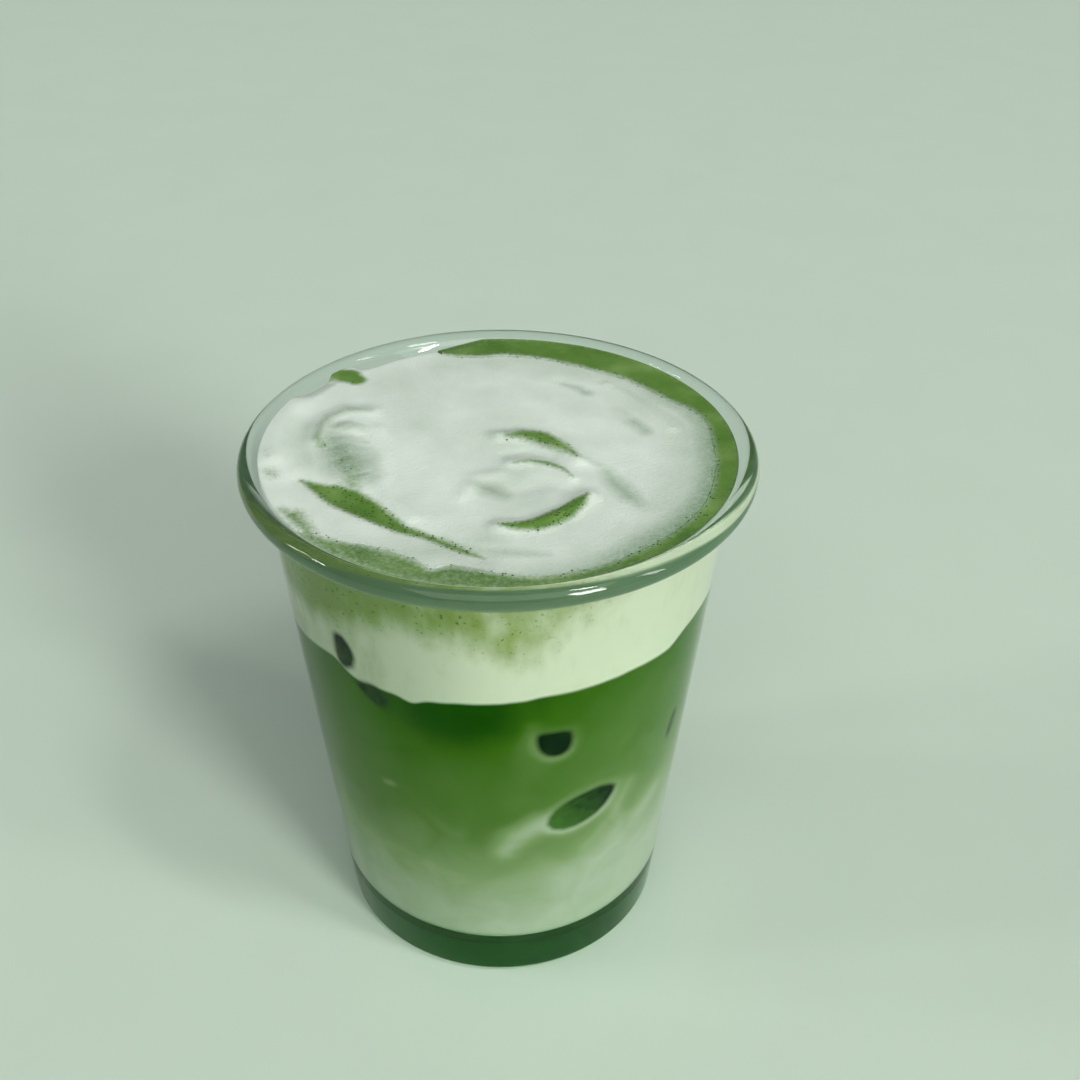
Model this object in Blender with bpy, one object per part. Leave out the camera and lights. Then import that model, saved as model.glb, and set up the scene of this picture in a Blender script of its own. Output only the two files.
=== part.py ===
"""Iced matcha latte in a flared glass tumbler, as closed solids at real size.

Metres, +Z up. The origin is the centre of the glass's flat foot, on the table.
From the table up: the tumbler's thick base, a layer of milk, the green tea over it,
the cream foam on top, and the band of tea froth that has risen along the wall.
Azimuths are in degrees round +Z: 0 is the front, -Y, and 90 is the right, +X.
"""

import math

import bmesh
import bpy
from mathutils import Vector

# Driving dimensions of the glass
GLASS_HEIGHT = 0.1015
LIP_RADIUS = 0.0452
LIP_THICKNESS = 0.0038
LIP_LEAN = math.radians(60)
FOOT_RADIUS = 0.0313
WALL_SLOPE = 0.0994
WALL_THICKNESS = 0.0022
BASE_THICKNESS = 0.0081
FOOT_ROUNDING = 0.0018
BORE_ROUNDING = 0.0030

# Driving dimensions of what the glass holds
MILK_TOP = 0.0290
TEA_TOP = 0.0735
FOAM_TOP = 0.1005
FROTH_DEPTH = 0.0022
FROTH_TAPER = 0.0004
GAP = 0.0003

# How far the cutter for the froth's bed stands above the foam and into the glass
CUTTER_RISE = 0.001
CUTTER_OVERLAP = 0.0006

# How finely the round shapes are divided
SEGMENTS = 64
FLARE_STEPS = 7
LIP_STEPS = 6
ROUNDING_STEPS = 4
SIDE_STEPS = 4
SURFACE_RINGS = 22
LAYER_RINGS = 5

# The wall's lean from the vertical, and the ends of the bent line through the flare's middle
WALL_LEAN = math.atan(WALL_SLOPE)
LIP_CENTRE = Vector((LIP_RADIUS - LIP_THICKNESS / 2, GLASS_HEIGHT - LIP_THICKNESS / 2))
MIDDLE_AT_TABLE = FOOT_RADIUS - WALL_THICKNESS / 2 / math.cos(WALL_LEAN)
FLARE_RADIUS = (LIP_CENTRE.x - MIDDLE_AT_TABLE - WALL_SLOPE * LIP_CENTRE.y) / (
    math.cos(WALL_LEAN) - math.cos(LIP_LEAN) - WALL_SLOPE * (math.sin(LIP_LEAN) - math.sin(WALL_LEAN))
)
FLARE_CENTRE = LIP_CENTRE + FLARE_RADIUS * Vector((math.cos(LIP_LEAN), -math.sin(LIP_LEAN)))

# The froth band: its width along the wall by azimuth, from its front-left tip round the right to its back-left tip
FROTH_WIDTHS = (
    (-50, 0.0012),
    (-40, 0.0035),
    (-25, 0.0054),
    (-6, 0.0046),
    (10, 0.0027),
    (28, 0.0030),
    (60, 0.0038),
    (100, 0.0033),
    (122, 0.0061),
    (150, 0.0078),
    (184, 0.0072),
    (197, 0.0034),
)

# Soft folds in the foam, each a line of (x, y) in millimetres with its half width and its height, also in millimetres
FOAM_FOLDS = (
    (((-33, -10), (-28, -14), (-22, -19), (-16, -25), (-8, -30), (-3, -33)), 2.6, -0.4),
    (((-23.5, 12.7), (-27.7, 12.9), (-30.7, 10.4), (-31.8, 7.1), (-32, 2.7)), 2.2, 0.45),
    (((-37, 17), (-39, 8), (-39, -3)), 3.0, 0.5),
    (((-27, 6), (-26, -2), (-24.5, -9)), 4.5, 0.5),
    (((0, 3.4), (4, 3.8), (8, 2.6), (11, -1), (13.5, -5)), 1.9, 0.6),
    (((2, -5.6), (6.2, -5), (9.8, -7), (12.2, -10.5)), 1.5, 0.4),
    (((0, -25), (4.5, -25), (8, -23.2), (11.6, -20.4), (14.6, -16.4)), 2.0, 0.7),
    (((20.5, 22), (26, 14), (30.5, 6)), 1.8, 0.4),
    (((-7, 13), (4, 15)), 11, 0.3),
)

# Where the foam hangs back from the wall and lies lower, at the back left
DIP_AZIMUTH = -142
DIP_HALF_ANGLE = 28
DIP_WIDTH = 0.0036
DIP_DEPTH = 0.0020


def flare_point(lean, side):
    """Point of the flare's section at a lean from the vertical; side is the distance inward from its middle line."""
    outward = Vector((-math.cos(lean), math.sin(lean)))
    return FLARE_CENTRE + (FLARE_RADIUS + side) * outward


def half_thickness(lean):
    share = (lean - WALL_LEAN) / (LIP_LEAN - WALL_LEAN)
    return (WALL_THICKNESS + share * (LIP_THICKNESS - WALL_THICKNESS)) / 2


def flare_leans():
    return [WALL_LEAN + (LIP_LEAN - WALL_LEAN) * step / FLARE_STEPS for step in range(FLARE_STEPS + 1)]


def arc(centre, radius, start, end, steps):
    """Points of an arc in the section plane, its angles in radians from the outward direction."""
    angles = [start + (end - start) * step / steps for step in range(steps + 1)]
    return [centre + radius * Vector((math.cos(angle), math.sin(angle))) for angle in angles]


def bore_line(inset):
    """The hollow's section, moved in from the glass by inset: the rounded corner, the wall and the flare."""
    inner_at_table = FOOT_RADIUS - WALL_THICKNESS / math.cos(WALL_LEAN)
    corner_height = BASE_THICKNESS + BORE_ROUNDING
    corner_radius = inner_at_table + WALL_SLOPE * corner_height - BORE_ROUNDING / math.cos(WALL_LEAN)
    corner = arc(
        Vector((corner_radius, corner_height)),
        BORE_ROUNDING - inset,
        -math.pi / 2,
        -WALL_LEAN,
        ROUNDING_STEPS,
    )
    flare = [flare_point(lean, half_thickness(lean) + inset) for lean in flare_leans()]
    return corner + flare


def bore_radius(height, inset):
    """Radius of the hollow at a height, moved in from the glass by inset."""
    line = bore_line(inset)
    for low, high in zip(line, line[1:]):
        if height <= high.y:
            return low.x + (high.x - low.x) * (height - low.y) / (high.y - low.y)
    return line[-1].x


def glass_section():
    """The tumbler's section from the axis under the foot, up the outside, over the lip and down to the axis again."""
    corner_radius = FOOT_RADIUS + WALL_SLOPE * FOOT_ROUNDING - FOOT_ROUNDING / math.cos(WALL_LEAN)
    foot = arc(
        Vector((corner_radius, FOOT_ROUNDING)), FOOT_ROUNDING, -math.pi / 2, -WALL_LEAN, ROUNDING_STEPS
    )
    outside = [flare_point(lean, -half_thickness(lean)) for lean in flare_leans()]
    lip_turn = arc(LIP_CENTRE, LIP_THICKNESS / 2, -LIP_LEAN, math.pi - LIP_LEAN, LIP_STEPS)
    inside = bore_line(0)[::-1]
    return [Vector((0, 0))] + foot + outside + lip_turn[1:-1] + inside + [Vector((0, BASE_THICKNESS))]


def turn(section):
    """A bmesh made by spinning a section, given from the axis round to the axis, about Z."""
    mesh = bmesh.new()
    corners = [mesh.verts.new((point.x, 0, point.y)) for point in section]
    edges = [mesh.edges.new(pair) for pair in zip(corners, corners[1:])]
    bmesh.ops.spin(
        mesh,
        geom=corners + edges,
        cent=(0, 0, 0),
        axis=(0, 0, 1),
        angle=2 * math.pi,
        steps=SEGMENTS,
        use_merge=True,
    )
    bmesh.ops.remove_doubles(mesh, verts=mesh.verts, dist=1e-6)
    bmesh.ops.recalc_face_normals(mesh, faces=mesh.faces)
    return mesh


def azimuth_of(x, y):
    return math.degrees(math.atan2(x, -y))


def smooth_share(value):
    """0 below 0, 1 above 1 and a soft step between."""
    value = min(max(value, 0), 1)
    return value * value * (3 - 2 * value)


def tea_boundary(x, y):
    """How far the top of the tea stands from its mean height: lower at the front left, higher at the right."""
    azimuth = math.radians(azimuth_of(x, y))
    reach = math.hypot(x, y) / FOOT_RADIUS
    return reach * (0.0013 * math.sin(azimuth - 0.1) + 0.0006 * math.sin(3 * azimuth + 0.7))


def milk_boundary(x, y):
    """How far the top of the milk stands from its mean height."""
    azimuth = math.radians(azimuth_of(x, y))
    reach = math.hypot(x, y) / FOOT_RADIUS
    return reach * (0.0016 * math.sin(azimuth + 0.5) + 0.0007 * math.cos(2 * azimuth))


def distance_to_line(x, y, points):
    """Distance in millimetres from a place to a line of straight runs, all in millimetres."""
    nearest = math.inf
    place = Vector((x, y))
    for start, end in zip(points, points[1:]):
        start, run = Vector(start), Vector(end) - Vector(start)
        along = min(max((place - start).dot(run) / run.length_squared, 0), 1)
        nearest = min(nearest, (place - start - along * run).length)
    return nearest


def foam_relief(x, y):
    """How far the foam's surface stands from its mean height: its folds, and the dip at the back left."""
    height = 0
    for points, half_width, fold_height in FOAM_FOLDS:
        share = distance_to_line(x * 1000, y * 1000, points) / half_width
        height += fold_height / 1000 * math.exp(-share * share)
    off = abs((azimuth_of(x, y) - DIP_AZIMUTH + 180) % 360 - 180)
    beside = smooth_share(2 * (1 - off / DIP_HALF_ANGLE))
    wall = bore_radius(FOAM_TOP, GAP)
    return height - DIP_DEPTH * beside * smooth_share((math.hypot(x, y) - wall + DIP_WIDTH) / DIP_WIDTH)


def level(x, y):
    return 0


def layer(bottom, top, lift_bottom, lift_top, rings):
    """A bmesh of what fills the hollow between two heights, with its lower and upper faces lifted by two functions."""
    line = bore_line(GAP)
    corner_top = line[ROUNDING_STEPS].y
    sides = line[: ROUNDING_STEPS + 1] if bottom < corner_top else [Vector((bore_radius(bottom, GAP), bottom))]
    start = sides[-1].y
    straight = [start + (top - start) * step / SIDE_STEPS for step in range(1, SIDE_STEPS)]
    curved = [point.y for point in line[ROUNDING_STEPS + 1 :] if point.y < top]
    heights = [height for height in straight if not curved or height < curved[0]] + curved + [top]
    sides = sides + [Vector((bore_radius(height, GAP), height)) for height in heights]
    lower = [Vector((sides[0].x * ring / rings, sides[0].y)) for ring in range(rings)]
    upper = [Vector((sides[-1].x * ring / rings, top)) for ring in range(rings)]
    mesh = turn(lower + sides + upper[::-1])
    for corner in mesh.verts:
        x, y, height = corner.co
        share = (height - start) / (top - start)
        if share < 0:
            continue
        height += (1 - share) * lift_bottom(x, y) + share * lift_top(x, y)
        radius = bore_radius(corner.co.z, GAP)
        scale = bore_radius(height, GAP) / radius
        corner.co = (x * scale, y * scale, height)
    return mesh


def width_of_froth(azimuth):
    """The froth band's width at an azimuth, read smoothly from its stated widths."""
    for (low, before), (high, after) in zip(FROTH_WIDTHS, FROTH_WIDTHS[1:]):
        if azimuth <= high:
            return before + (after - before) * smooth_share((azimuth - low) / (high - low))
    return FROTH_WIDTHS[-1][1]


def froth_band(grow):
    """A bmesh of the froth band. A cutter for its bed is the same band, larger by grow on every side."""
    first, last = FROTH_WIDTHS[0][0], FROTH_WIDTHS[-1][0]
    margin = math.degrees(grow / LIP_RADIUS)
    steps = SEGMENTS * 2 // 3
    top = FOAM_TOP + (CUTTER_RISE if grow else 0)
    low = FOAM_TOP - FROTH_DEPTH - grow
    inset = -CUTTER_OVERLAP if grow else GAP
    mesh = bmesh.new()
    loops = []
    for step in range(steps + 1):
        azimuth = first - margin + (last - first + 2 * margin) * step / steps
        width = width_of_froth(min(max(azimuth, first), last))
        inner = bore_radius(FOAM_TOP, GAP) - width - grow
        direction = Vector((math.sin(math.radians(azimuth)), -math.cos(math.radians(azimuth))))
        section = [(bore_radius(height, inset), height) for height in (top, (FOAM_TOP + low) / 2, low)]
        section.append((inner + (0 if grow else FROTH_TAPER), low))
        section.append((inner, top))
        section.append((inner + width / 2, top))
        loops.append([mesh.verts.new((*(direction * radius), height)) for radius, height in section])
    for near, far in zip(loops, loops[1:]):
        for index in range(len(near)):
            after = (index + 1) % len(near)
            mesh.faces.new((near[index], near[after], far[after], far[index]))
    mesh.faces.new(loops[0][::-1])
    mesh.faces.new(loops[-1])
    bmesh.ops.recalc_face_normals(mesh, faces=mesh.faces)
    return mesh


def material(name, color, roughness, transmission=0.0, ior=1.45):
    made = bpy.data.materials.new(name)
    made.use_nodes = True
    shader = made.node_tree.nodes["Principled BSDF"]
    shader.inputs["Base Color"].default_value = (*color, 1)
    shader.inputs["Metallic"].default_value = 0
    shader.inputs["Roughness"].default_value = roughness
    shader.inputs["Transmission Weight"].default_value = transmission
    shader.inputs["IOR"].default_value = ior
    return made


def add_object(name, mesh, dressed_in, smooth_angle=35):
    data = bpy.data.meshes.new(name)
    mesh.to_mesh(data)
    mesh.free()
    data.shade_smooth()
    data.set_sharp_from_angle(angle=math.radians(smooth_angle))
    made = bpy.data.objects.new(name, data)
    bpy.context.scene.collection.objects.link(made)
    if dressed_in:
        data.materials.append(dressed_in)
    return made


def clear_scene():
    for existing in list(bpy.data.objects):
        bpy.data.objects.remove(existing, do_unlink=True)


def build():
    clear_scene()
    whole = bpy.data.objects.new("matcha_latte", None)
    bpy.context.scene.collection.objects.link(whole)

    glass = add_object(
        "glass_tumbler",
        turn(glass_section()),
        material("clear_glass", (0.9, 0.97, 0.93), 0.02, 1, 1.5),
    )
    milk = add_object(
        "milk_layer",
        layer(BASE_THICKNESS + GAP, MILK_TOP, level, milk_boundary, LAYER_RINGS),
        material("milk", (0.42, 0.58, 0.34), 0.4),
    )
    tea = add_object(
        "matcha_layer",
        layer(MILK_TOP + GAP, TEA_TOP, milk_boundary, tea_boundary, LAYER_RINGS),
        material("matcha_tea", (0.07, 0.2, 0.02), 0.4),
    )
    foam = add_object(
        "cream_foam",
        layer(TEA_TOP + GAP, FOAM_TOP, tea_boundary, foam_relief, SURFACE_RINGS),
        material("cream", (0.72, 0.76, 0.68), 0.55),
    )
    froth = add_object("matcha_froth_band", froth_band(0), material("matcha_froth", (0.15, 0.27, 0.05), 0.6))
    for piece in (glass, milk, tea, foam, froth):
        piece.parent = whole

    bed = add_object("froth_bed_cutter", froth_band(GAP), None)
    bed.hide_render = True
    bed.display_type = "WIRE"
    cut = foam.modifiers.new("froth_bed", "BOOLEAN")
    cut.operation = "DIFFERENCE"
    cut.solver = "EXACT"
    cut.object = bed


build()
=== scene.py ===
"""Looks of an iced matcha latte in a flared glass tumbler.

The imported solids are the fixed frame: a pressed glass, a layer of milk, green tea over it, cream foam on top
and a band of tea froth along the wall. Every one of them is replaced here by a fine mesh of the same form,
and the ice that is sunk in the drink is added. Metres, +Z up. An azimuth is in degrees round +Z:
0 is the front, -Y, and 90 is the right, +X.
"""

import logging
import math
from dataclasses import dataclass, field
from enum import Enum

import bpy
import numpy as np
from mathutils import Matrix, Vector


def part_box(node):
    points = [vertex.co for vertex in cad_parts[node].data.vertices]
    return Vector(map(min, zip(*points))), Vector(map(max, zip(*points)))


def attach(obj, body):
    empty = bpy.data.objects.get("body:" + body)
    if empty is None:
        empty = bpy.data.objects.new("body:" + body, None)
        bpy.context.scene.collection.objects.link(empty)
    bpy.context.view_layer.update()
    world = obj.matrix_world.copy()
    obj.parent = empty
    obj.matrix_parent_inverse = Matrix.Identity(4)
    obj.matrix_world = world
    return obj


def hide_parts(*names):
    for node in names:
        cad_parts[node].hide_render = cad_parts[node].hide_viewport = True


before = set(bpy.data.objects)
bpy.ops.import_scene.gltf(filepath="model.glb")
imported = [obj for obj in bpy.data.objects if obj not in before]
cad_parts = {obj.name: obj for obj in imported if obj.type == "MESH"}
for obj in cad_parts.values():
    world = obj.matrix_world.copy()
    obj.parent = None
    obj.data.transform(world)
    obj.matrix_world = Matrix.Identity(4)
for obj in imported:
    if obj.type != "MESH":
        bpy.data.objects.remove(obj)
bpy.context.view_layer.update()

LOG = logging.getLogger("matcha_latte")
MM = 0.001
ROOT = "root"
SHARP_ANGLE = math.radians(50)
MIDDLE = Vector((0, 0, 80 * MM))
MILK_TOP = 29 * MM
BASE_OVERLAP = 0.4 * MM
LAYER_OVERLAP = 0.1 * MM
TEA_REACH = 0.18 * MM
Stops = tuple[tuple[float, float], ...]


class Slot(Enum):
    """The record's material slots."""

    GLASS = "clear_glass"
    MILK = "milk"
    TEA = "matcha_tea"
    CREAM = "cream"
    FROTH = "matcha_froth"


class Mask(Enum):
    """The point attributes that place colours on a piece, each from 0 to 1."""

    FROTH = "froth"
    HAZE = "haze"
    MILKINESS = "milkiness"
    CREAM = "cream_share"
    STAIN = "stain_and_shade"
    WINDOW = "ice_window"
    PITS = "pits"
    # Painted shade on the cream's side, under the lip and down the left.
    FILM = "lip_painted_shade"


def linear(hex_colour: str) -> tuple[float, float, float, float]:
    """Turns an sRGB hex colour into linear light.

    Args:
        hex_colour: Six hex digits, such as "a0c080".

    Returns:
        Red, green, blue and a full alpha.
    """
    channels = [int(hex_colour[start : start + 2], 16) / 255 for start in (0, 2, 4)]
    lit = [c / 12.92 if c <= 0.04045 else ((c + 0.055) / 1.055) ** 2.4 for c in channels]
    return (*lit, 1.0)


def add_node(
    tree: bpy.types.NodeTree, kind: str, settings: dict[str, object] | None = None,
    values: dict[object, object] | None = None, links: dict[object, bpy.types.NodeSocket] | None = None,
) -> bpy.types.Node:
    """Adds one shader node with its settings and links.

    Args:
        tree: The material's node tree.
        kind: Blender's name for the kind of node.
        settings: The node's own properties.
        values: Input values by the input's name or number.
        links: Output sockets to join to inputs, by the input's name or number.

    Returns:
        The new node.
    """
    node = tree.nodes.new(kind)
    for name, setting in (settings or {}).items():
        setattr(node, name, setting)
    for name, value in (values or {}).items():
        node.inputs[name].default_value = value
    for name, socket in (links or {}).items():
        tree.links.new(socket, node.inputs[name])
    return node


def new_material(name: str) -> tuple[bpy.types.Material, bpy.types.NodeTree, bpy.types.Node]:
    """Makes a material with only its Principled shader and output.

    Args:
        name: The material's name.

    Returns:
        The material, its node tree and its Principled node.
    """
    material = bpy.data.materials.new(name)
    material.use_nodes = True
    tree = material.node_tree
    return material, tree, tree.nodes["Principled BSDF"]


def soft_step(values: np.ndarray) -> np.ndarray:
    """A soft step from 0, at 0 and below, to 1, at 1 and above."""
    share = np.clip(values, 0.0, 1.0)
    return share * share * (3 - 2 * share)


def azimuths(x: np.ndarray, y: np.ndarray) -> np.ndarray:
    """Azimuths in degrees, from -180 to 180, of places seen from above."""
    return np.degrees(np.arctan2(x, -y))


def closed_curve(stops: Stops, azimuth: np.ndarray, blur: float = 1.6) -> np.ndarray:
    """Reads a value that runs once round the glass through stated places, with its corners rounded off.

    Args:
        stops: Azimuths from -180 up to 180, each with its value.
        azimuth: Where to read it, in degrees.
        blur: How wide the corners are rounded, in degrees.

    Returns:
        The value at each azimuth.
    """
    step = 0.5
    grid = np.arange(-180, 180, step)
    table = np.array(stops)
    values = np.interp(grid, table[:, 0], table[:, 1], period=360)
    reach = int(3 * blur / step)
    weights = np.exp(-((np.arange(-reach, reach + 1) * step / blur) ** 2))
    padded = np.concatenate((values[-reach:], values, values[:reach]))
    return np.interp(azimuth, grid, np.convolve(padded, weights / weights.sum(), "valid"), period=360)


def angle_between(first: np.ndarray, second: float) -> np.ndarray:
    """How far azimuths lie from another one, in degrees, from -180 to 180."""
    return (first - second + 180) % 360 - 180


def off_segment(
    x: np.ndarray, y: np.ndarray, start: tuple[float, float], end: tuple[float, float]
) -> tuple[np.ndarray, np.ndarray]:
    """Measures places against a straight segment.

    Args:
        x: Places across.
        y: Places in depth or up.
        start: The segment's first end.
        end: Its other end.

    Returns:
        How far along it each place's nearest point lies, from 0 to 1, and how far off the place is.
    """
    (x0, y0), (x1, y1) = start, end
    run = max((x1 - x0) ** 2 + (y1 - y0) ** 2, 1e-9)
    along = np.clip(((x - x0) * (x1 - x0) + (y - y0) * (y1 - y0)) / run, 0, 1)
    return along, np.hypot(x - x0 - along * (x1 - x0), y - y0 - along * (y1 - y0))


@dataclass(frozen=True)
class TumblerForm:
    """The glass's section, from the same sizes as its solid.

    The wall's middle line runs straight up from the table with a small lean, then along an arc out to the lip.
    """

    height: float
    lip_radius: float
    lip_thickness: float = 3.8 * MM
    lip_lean: float = math.radians(60)
    foot_radius: float = 31.3 * MM
    wall_slope: float = 0.0994
    wall_thickness: float = 2.2 * MM
    base_thickness: float = 8.1 * MM
    foot_rounding: float = 1.8 * MM
    foot_ring: float = 9.0 * MM
    bore_rounding: float = 3.0 * MM
    flare_steps: int = 24
    lip_steps: int = 18
    rounding_steps: int = 10

    @property
    def wall_lean(self) -> float:
        """The straight wall's lean from the vertical, in radians."""
        return math.atan(self.wall_slope)

    @property
    def lip_centre(self) -> Vector:
        """The middle of the lip's round end, as radius and height."""
        return Vector((self.lip_radius - self.lip_thickness / 2, self.height - self.lip_thickness / 2))

    def flare(self) -> tuple[Vector, float]:
        """Finds the arc that joins the wall's middle line to the lip.

        Returns:
            The arc's centre, as radius and height, and its radius.
        """
        middle_at_table = self.foot_radius - self.wall_thickness / 2 / math.cos(self.wall_lean)
        outward = self.lip_centre.x - middle_at_table - self.wall_slope * self.lip_centre.y
        rise = math.sin(self.lip_lean) - math.sin(self.wall_lean)
        radius = outward / (math.cos(self.wall_lean) - math.cos(self.lip_lean) - self.wall_slope * rise)
        centre = self.lip_centre + radius * Vector((math.cos(self.lip_lean), -math.sin(self.lip_lean)))
        return centre, radius

    def arc(self, centre: Vector, radius: float, start: float, end: float, steps: int) -> list[Vector]:
        """Points of an arc in the section, with angles in radians from the outward direction."""
        angles = [start + (end - start) * step / steps for step in range(steps + 1)]
        return [centre + radius * Vector((math.cos(angle), math.sin(angle))) for angle in angles]

    def flare_line(self, side: float) -> list[Vector]:
        """Points up the flare on one of its faces.

        Args:
            side: 1 for the inner face and -1 for the outer one.

        Returns:
            The points, as radius and height.
        """
        centre, radius = self.flare()
        points = []
        for step in range(self.flare_steps + 1):
            share = step / self.flare_steps
            lean = self.wall_lean + (self.lip_lean - self.wall_lean) * share
            thickness = self.wall_thickness + share * (self.lip_thickness - self.wall_thickness)
            away = radius + side * thickness / 2
            points.append(centre + away * Vector((-math.cos(lean), math.sin(lean))))
        return points

    def bore_line(self) -> list[Vector]:
        """The hollow's section from the edge of its flat bottom up to the lip."""
        inner_at_table = self.foot_radius - self.wall_thickness / math.cos(self.wall_lean)
        top = self.base_thickness + self.bore_rounding
        radius = inner_at_table + self.wall_slope * top - self.bore_rounding / math.cos(self.wall_lean)
        corner = self.arc(
            Vector((radius, top)), self.bore_rounding, -math.pi / 2, -self.wall_lean, self.rounding_steps
        )
        return corner + self.flare_line(1)

    def section(self) -> list[Vector]:
        """The whole section, from the axis under the foot round to the axis inside."""
        slant = self.foot_rounding / math.cos(self.wall_lean)
        corner = Vector((self.foot_radius + self.wall_slope * self.foot_rounding - slant, self.foot_rounding))
        foot = self.arc(corner, self.foot_rounding, -math.pi / 2, -self.wall_lean, self.rounding_steps)
        lip = self.arc(
            self.lip_centre, self.lip_thickness / 2, -self.lip_lean, math.pi - self.lip_lean, self.lip_steps
        )
        inside = self.bore_line()[::-1]
        ring = Vector((self.foot_radius + self.wall_slope * self.foot_ring, self.foot_ring))
        floor = Vector((0, self.base_thickness))
        return [Vector((0, 0)), *foot, ring, *self.flare_line(-1), *lip[1:-1], *inside, floor]

    def bore_radius(self, heights: np.ndarray) -> np.ndarray:
        """Radius of the hollow at some heights."""
        line = self.bore_line()
        return np.interp(heights, [point.y for point in line], [point.x for point in line])

    def filling(self, heights: list[float], reach: float, lower_rings: int, upper_rings: int) -> list[Vector]:
        """The section of what fills the bore between two levels.

        Args:
            heights: Levels up its side, from its bottom to its top.
            reach: How far it goes into the wall.
            lower_rings: How many rings its bottom has.
            upper_rings: How many rings its top has.

        Returns:
            Points from the axis at the bottom round to the axis at the top.
        """
        side = [Vector((self.bore_radius(np.array([height]))[0] + reach, height)) for height in heights]
        lower = [Vector((side[0].x * ring / lower_rings, side[0].y)) for ring in range(lower_rings)]
        upper = [Vector((side[-1].x * ring / upper_rings, side[-1].y)) for ring in range(upper_rings)]
        return lower + side + upper[::-1]


def deselect_all() -> None:
    """Leaves every object unselected, in object mode."""
    if bpy.context.object and bpy.context.object.mode != "OBJECT":
        bpy.ops.object.mode_set(mode="OBJECT")
    bpy.ops.object.select_all(action="DESELECT")


def lathe(name: str, outline: list[Vector], segments: int) -> bpy.types.Object:
    """Extrudes one point along an outline and spins it about +Z into a closed solid.

    Args:
        name: The piece's name.
        outline: Points as radius and height, from the axis round to the axis.
        segments: How many steps the full turn has.

    Returns:
        The piece, with its origin at the centre of the foot.
    """
    deselect_all()
    bpy.ops.mesh.primitive_plane_add(size=MM, location=(0, 0, 0))
    piece = bpy.context.object
    piece.name = piece.data.name = name
    bpy.ops.object.mode_set(mode="EDIT")
    bpy.ops.mesh.select_all(action="SELECT")
    bpy.ops.mesh.merge(type="CENTER")
    bpy.ops.transform.translate(value=(outline[0].x, 0, outline[0].y))
    for last, point in zip(outline, outline[1:]):
        move = {"value": (point.x - last.x, 0, point.y - last.y)}
        bpy.ops.mesh.extrude_vertices_move(TRANSFORM_OT_translate=move)
    bpy.ops.mesh.select_all(action="SELECT")
    bpy.ops.mesh.spin(steps=segments, angle=2 * math.pi, center=(0, 0, 0), axis=(0, 0, 1))
    bpy.ops.mesh.select_all(action="SELECT")
    bpy.ops.mesh.remove_doubles(threshold=0.001 * MM)
    bpy.ops.mesh.normals_make_consistent(inside=False)
    bpy.ops.object.mode_set(mode="OBJECT")
    return piece


def positions(piece: bpy.types.Object) -> np.ndarray:
    """A copy of a mesh's points, one row each."""
    points = np.empty(len(piece.data.vertices) * 3, np.float32)
    piece.data.vertices.foreach_get("co", points)
    return points.reshape(-1, 3).astype(float)


def move_points(piece: bpy.types.Object, points: np.ndarray) -> None:
    """Puts a mesh's points where a table of places says."""
    piece.data.vertices.foreach_set("co", points.astype(np.float32).ravel())
    piece.data.update()


def paint(piece: bpy.types.Object, mask: Mask, values: np.ndarray) -> None:
    """Keeps a value from 0 to 1 at each of a mesh's points, for its material to read."""
    layer = piece.data.attributes.new(mask.value, "FLOAT", "POINT")
    layer.data.foreach_set("value", np.clip(values, 0, 1).astype(np.float32))


def finish_piece(
    piece: bpy.types.Object, material: bpy.types.Material, replaced: tuple[str, ...] = ()
) -> None:
    """Shades, dresses and hangs a finished piece on the frame.

    Args:
        piece: The piece, with its place in its mesh.
        material: Its finish.
        replaced: The nodes that it stands for.
    """
    deselect_all()
    piece.select_set(True)
    bpy.context.view_layer.objects.active = piece
    bpy.ops.object.shade_smooth()
    piece.data.set_sharp_from_angle(angle=SHARP_ANGLE)
    piece.data.materials.clear()
    piece.data.materials.append(material)
    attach(piece, ROOT)
    if replaced:
        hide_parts(*replaced)
    piece.data.calc_loop_triangles()
    LOG.info("%s: %d triangles, in %s", piece.name, len(piece.data.loop_triangles), material.name)


@dataclass(frozen=True)
class ClearGlass:
    """Soda-lime glass, pressed and then polished in the flame: clear and smooth, with a faint green cast."""

    name: str = "pressed_soda_lime_glass"
    tint: str = "f8fbf8"
    reflection: float = 0.0
    ior: float = 1.17
    roughness: float = 0.0
    wave_size: float = 14 * MM
    wave_strength: float = 0.012

    def make(self) -> bpy.types.Material:
        """Makes the material, clear, with faint waves that bend the highlights."""
        material, tree, shader = new_material(self.name)
        # Pressed glass is clear, with a green cast. Its faint waves pull the glints into streaks.
        shader.inputs["Base Color"].default_value = linear(self.tint)
        shader.inputs["Roughness"].default_value = self.roughness
        shader.inputs["IOR"].default_value = self.ior
        shader.inputs["Transmission Weight"].default_value = 1.0
        shader.inputs["Specular Tint"].default_value = (self.reflection, self.reflection, self.reflection, 1)
        place = add_node(tree, "ShaderNodeTexCoord")
        waves = add_node(
            tree, "ShaderNodeTexNoise", values={"Scale": 1 / self.wave_size, "Detail": 1.0},
            links={"Vector": place.outputs["Object"]},
        )
        bump = add_node(
            tree, "ShaderNodeBump", values={"Strength": self.wave_strength, "Distance": 1 * MM},
            links={"Height": waves.outputs["Fac"]},
        )
        tree.links.new(bump.outputs["Normal"], shader.inputs["Normal"])
        return material


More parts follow.
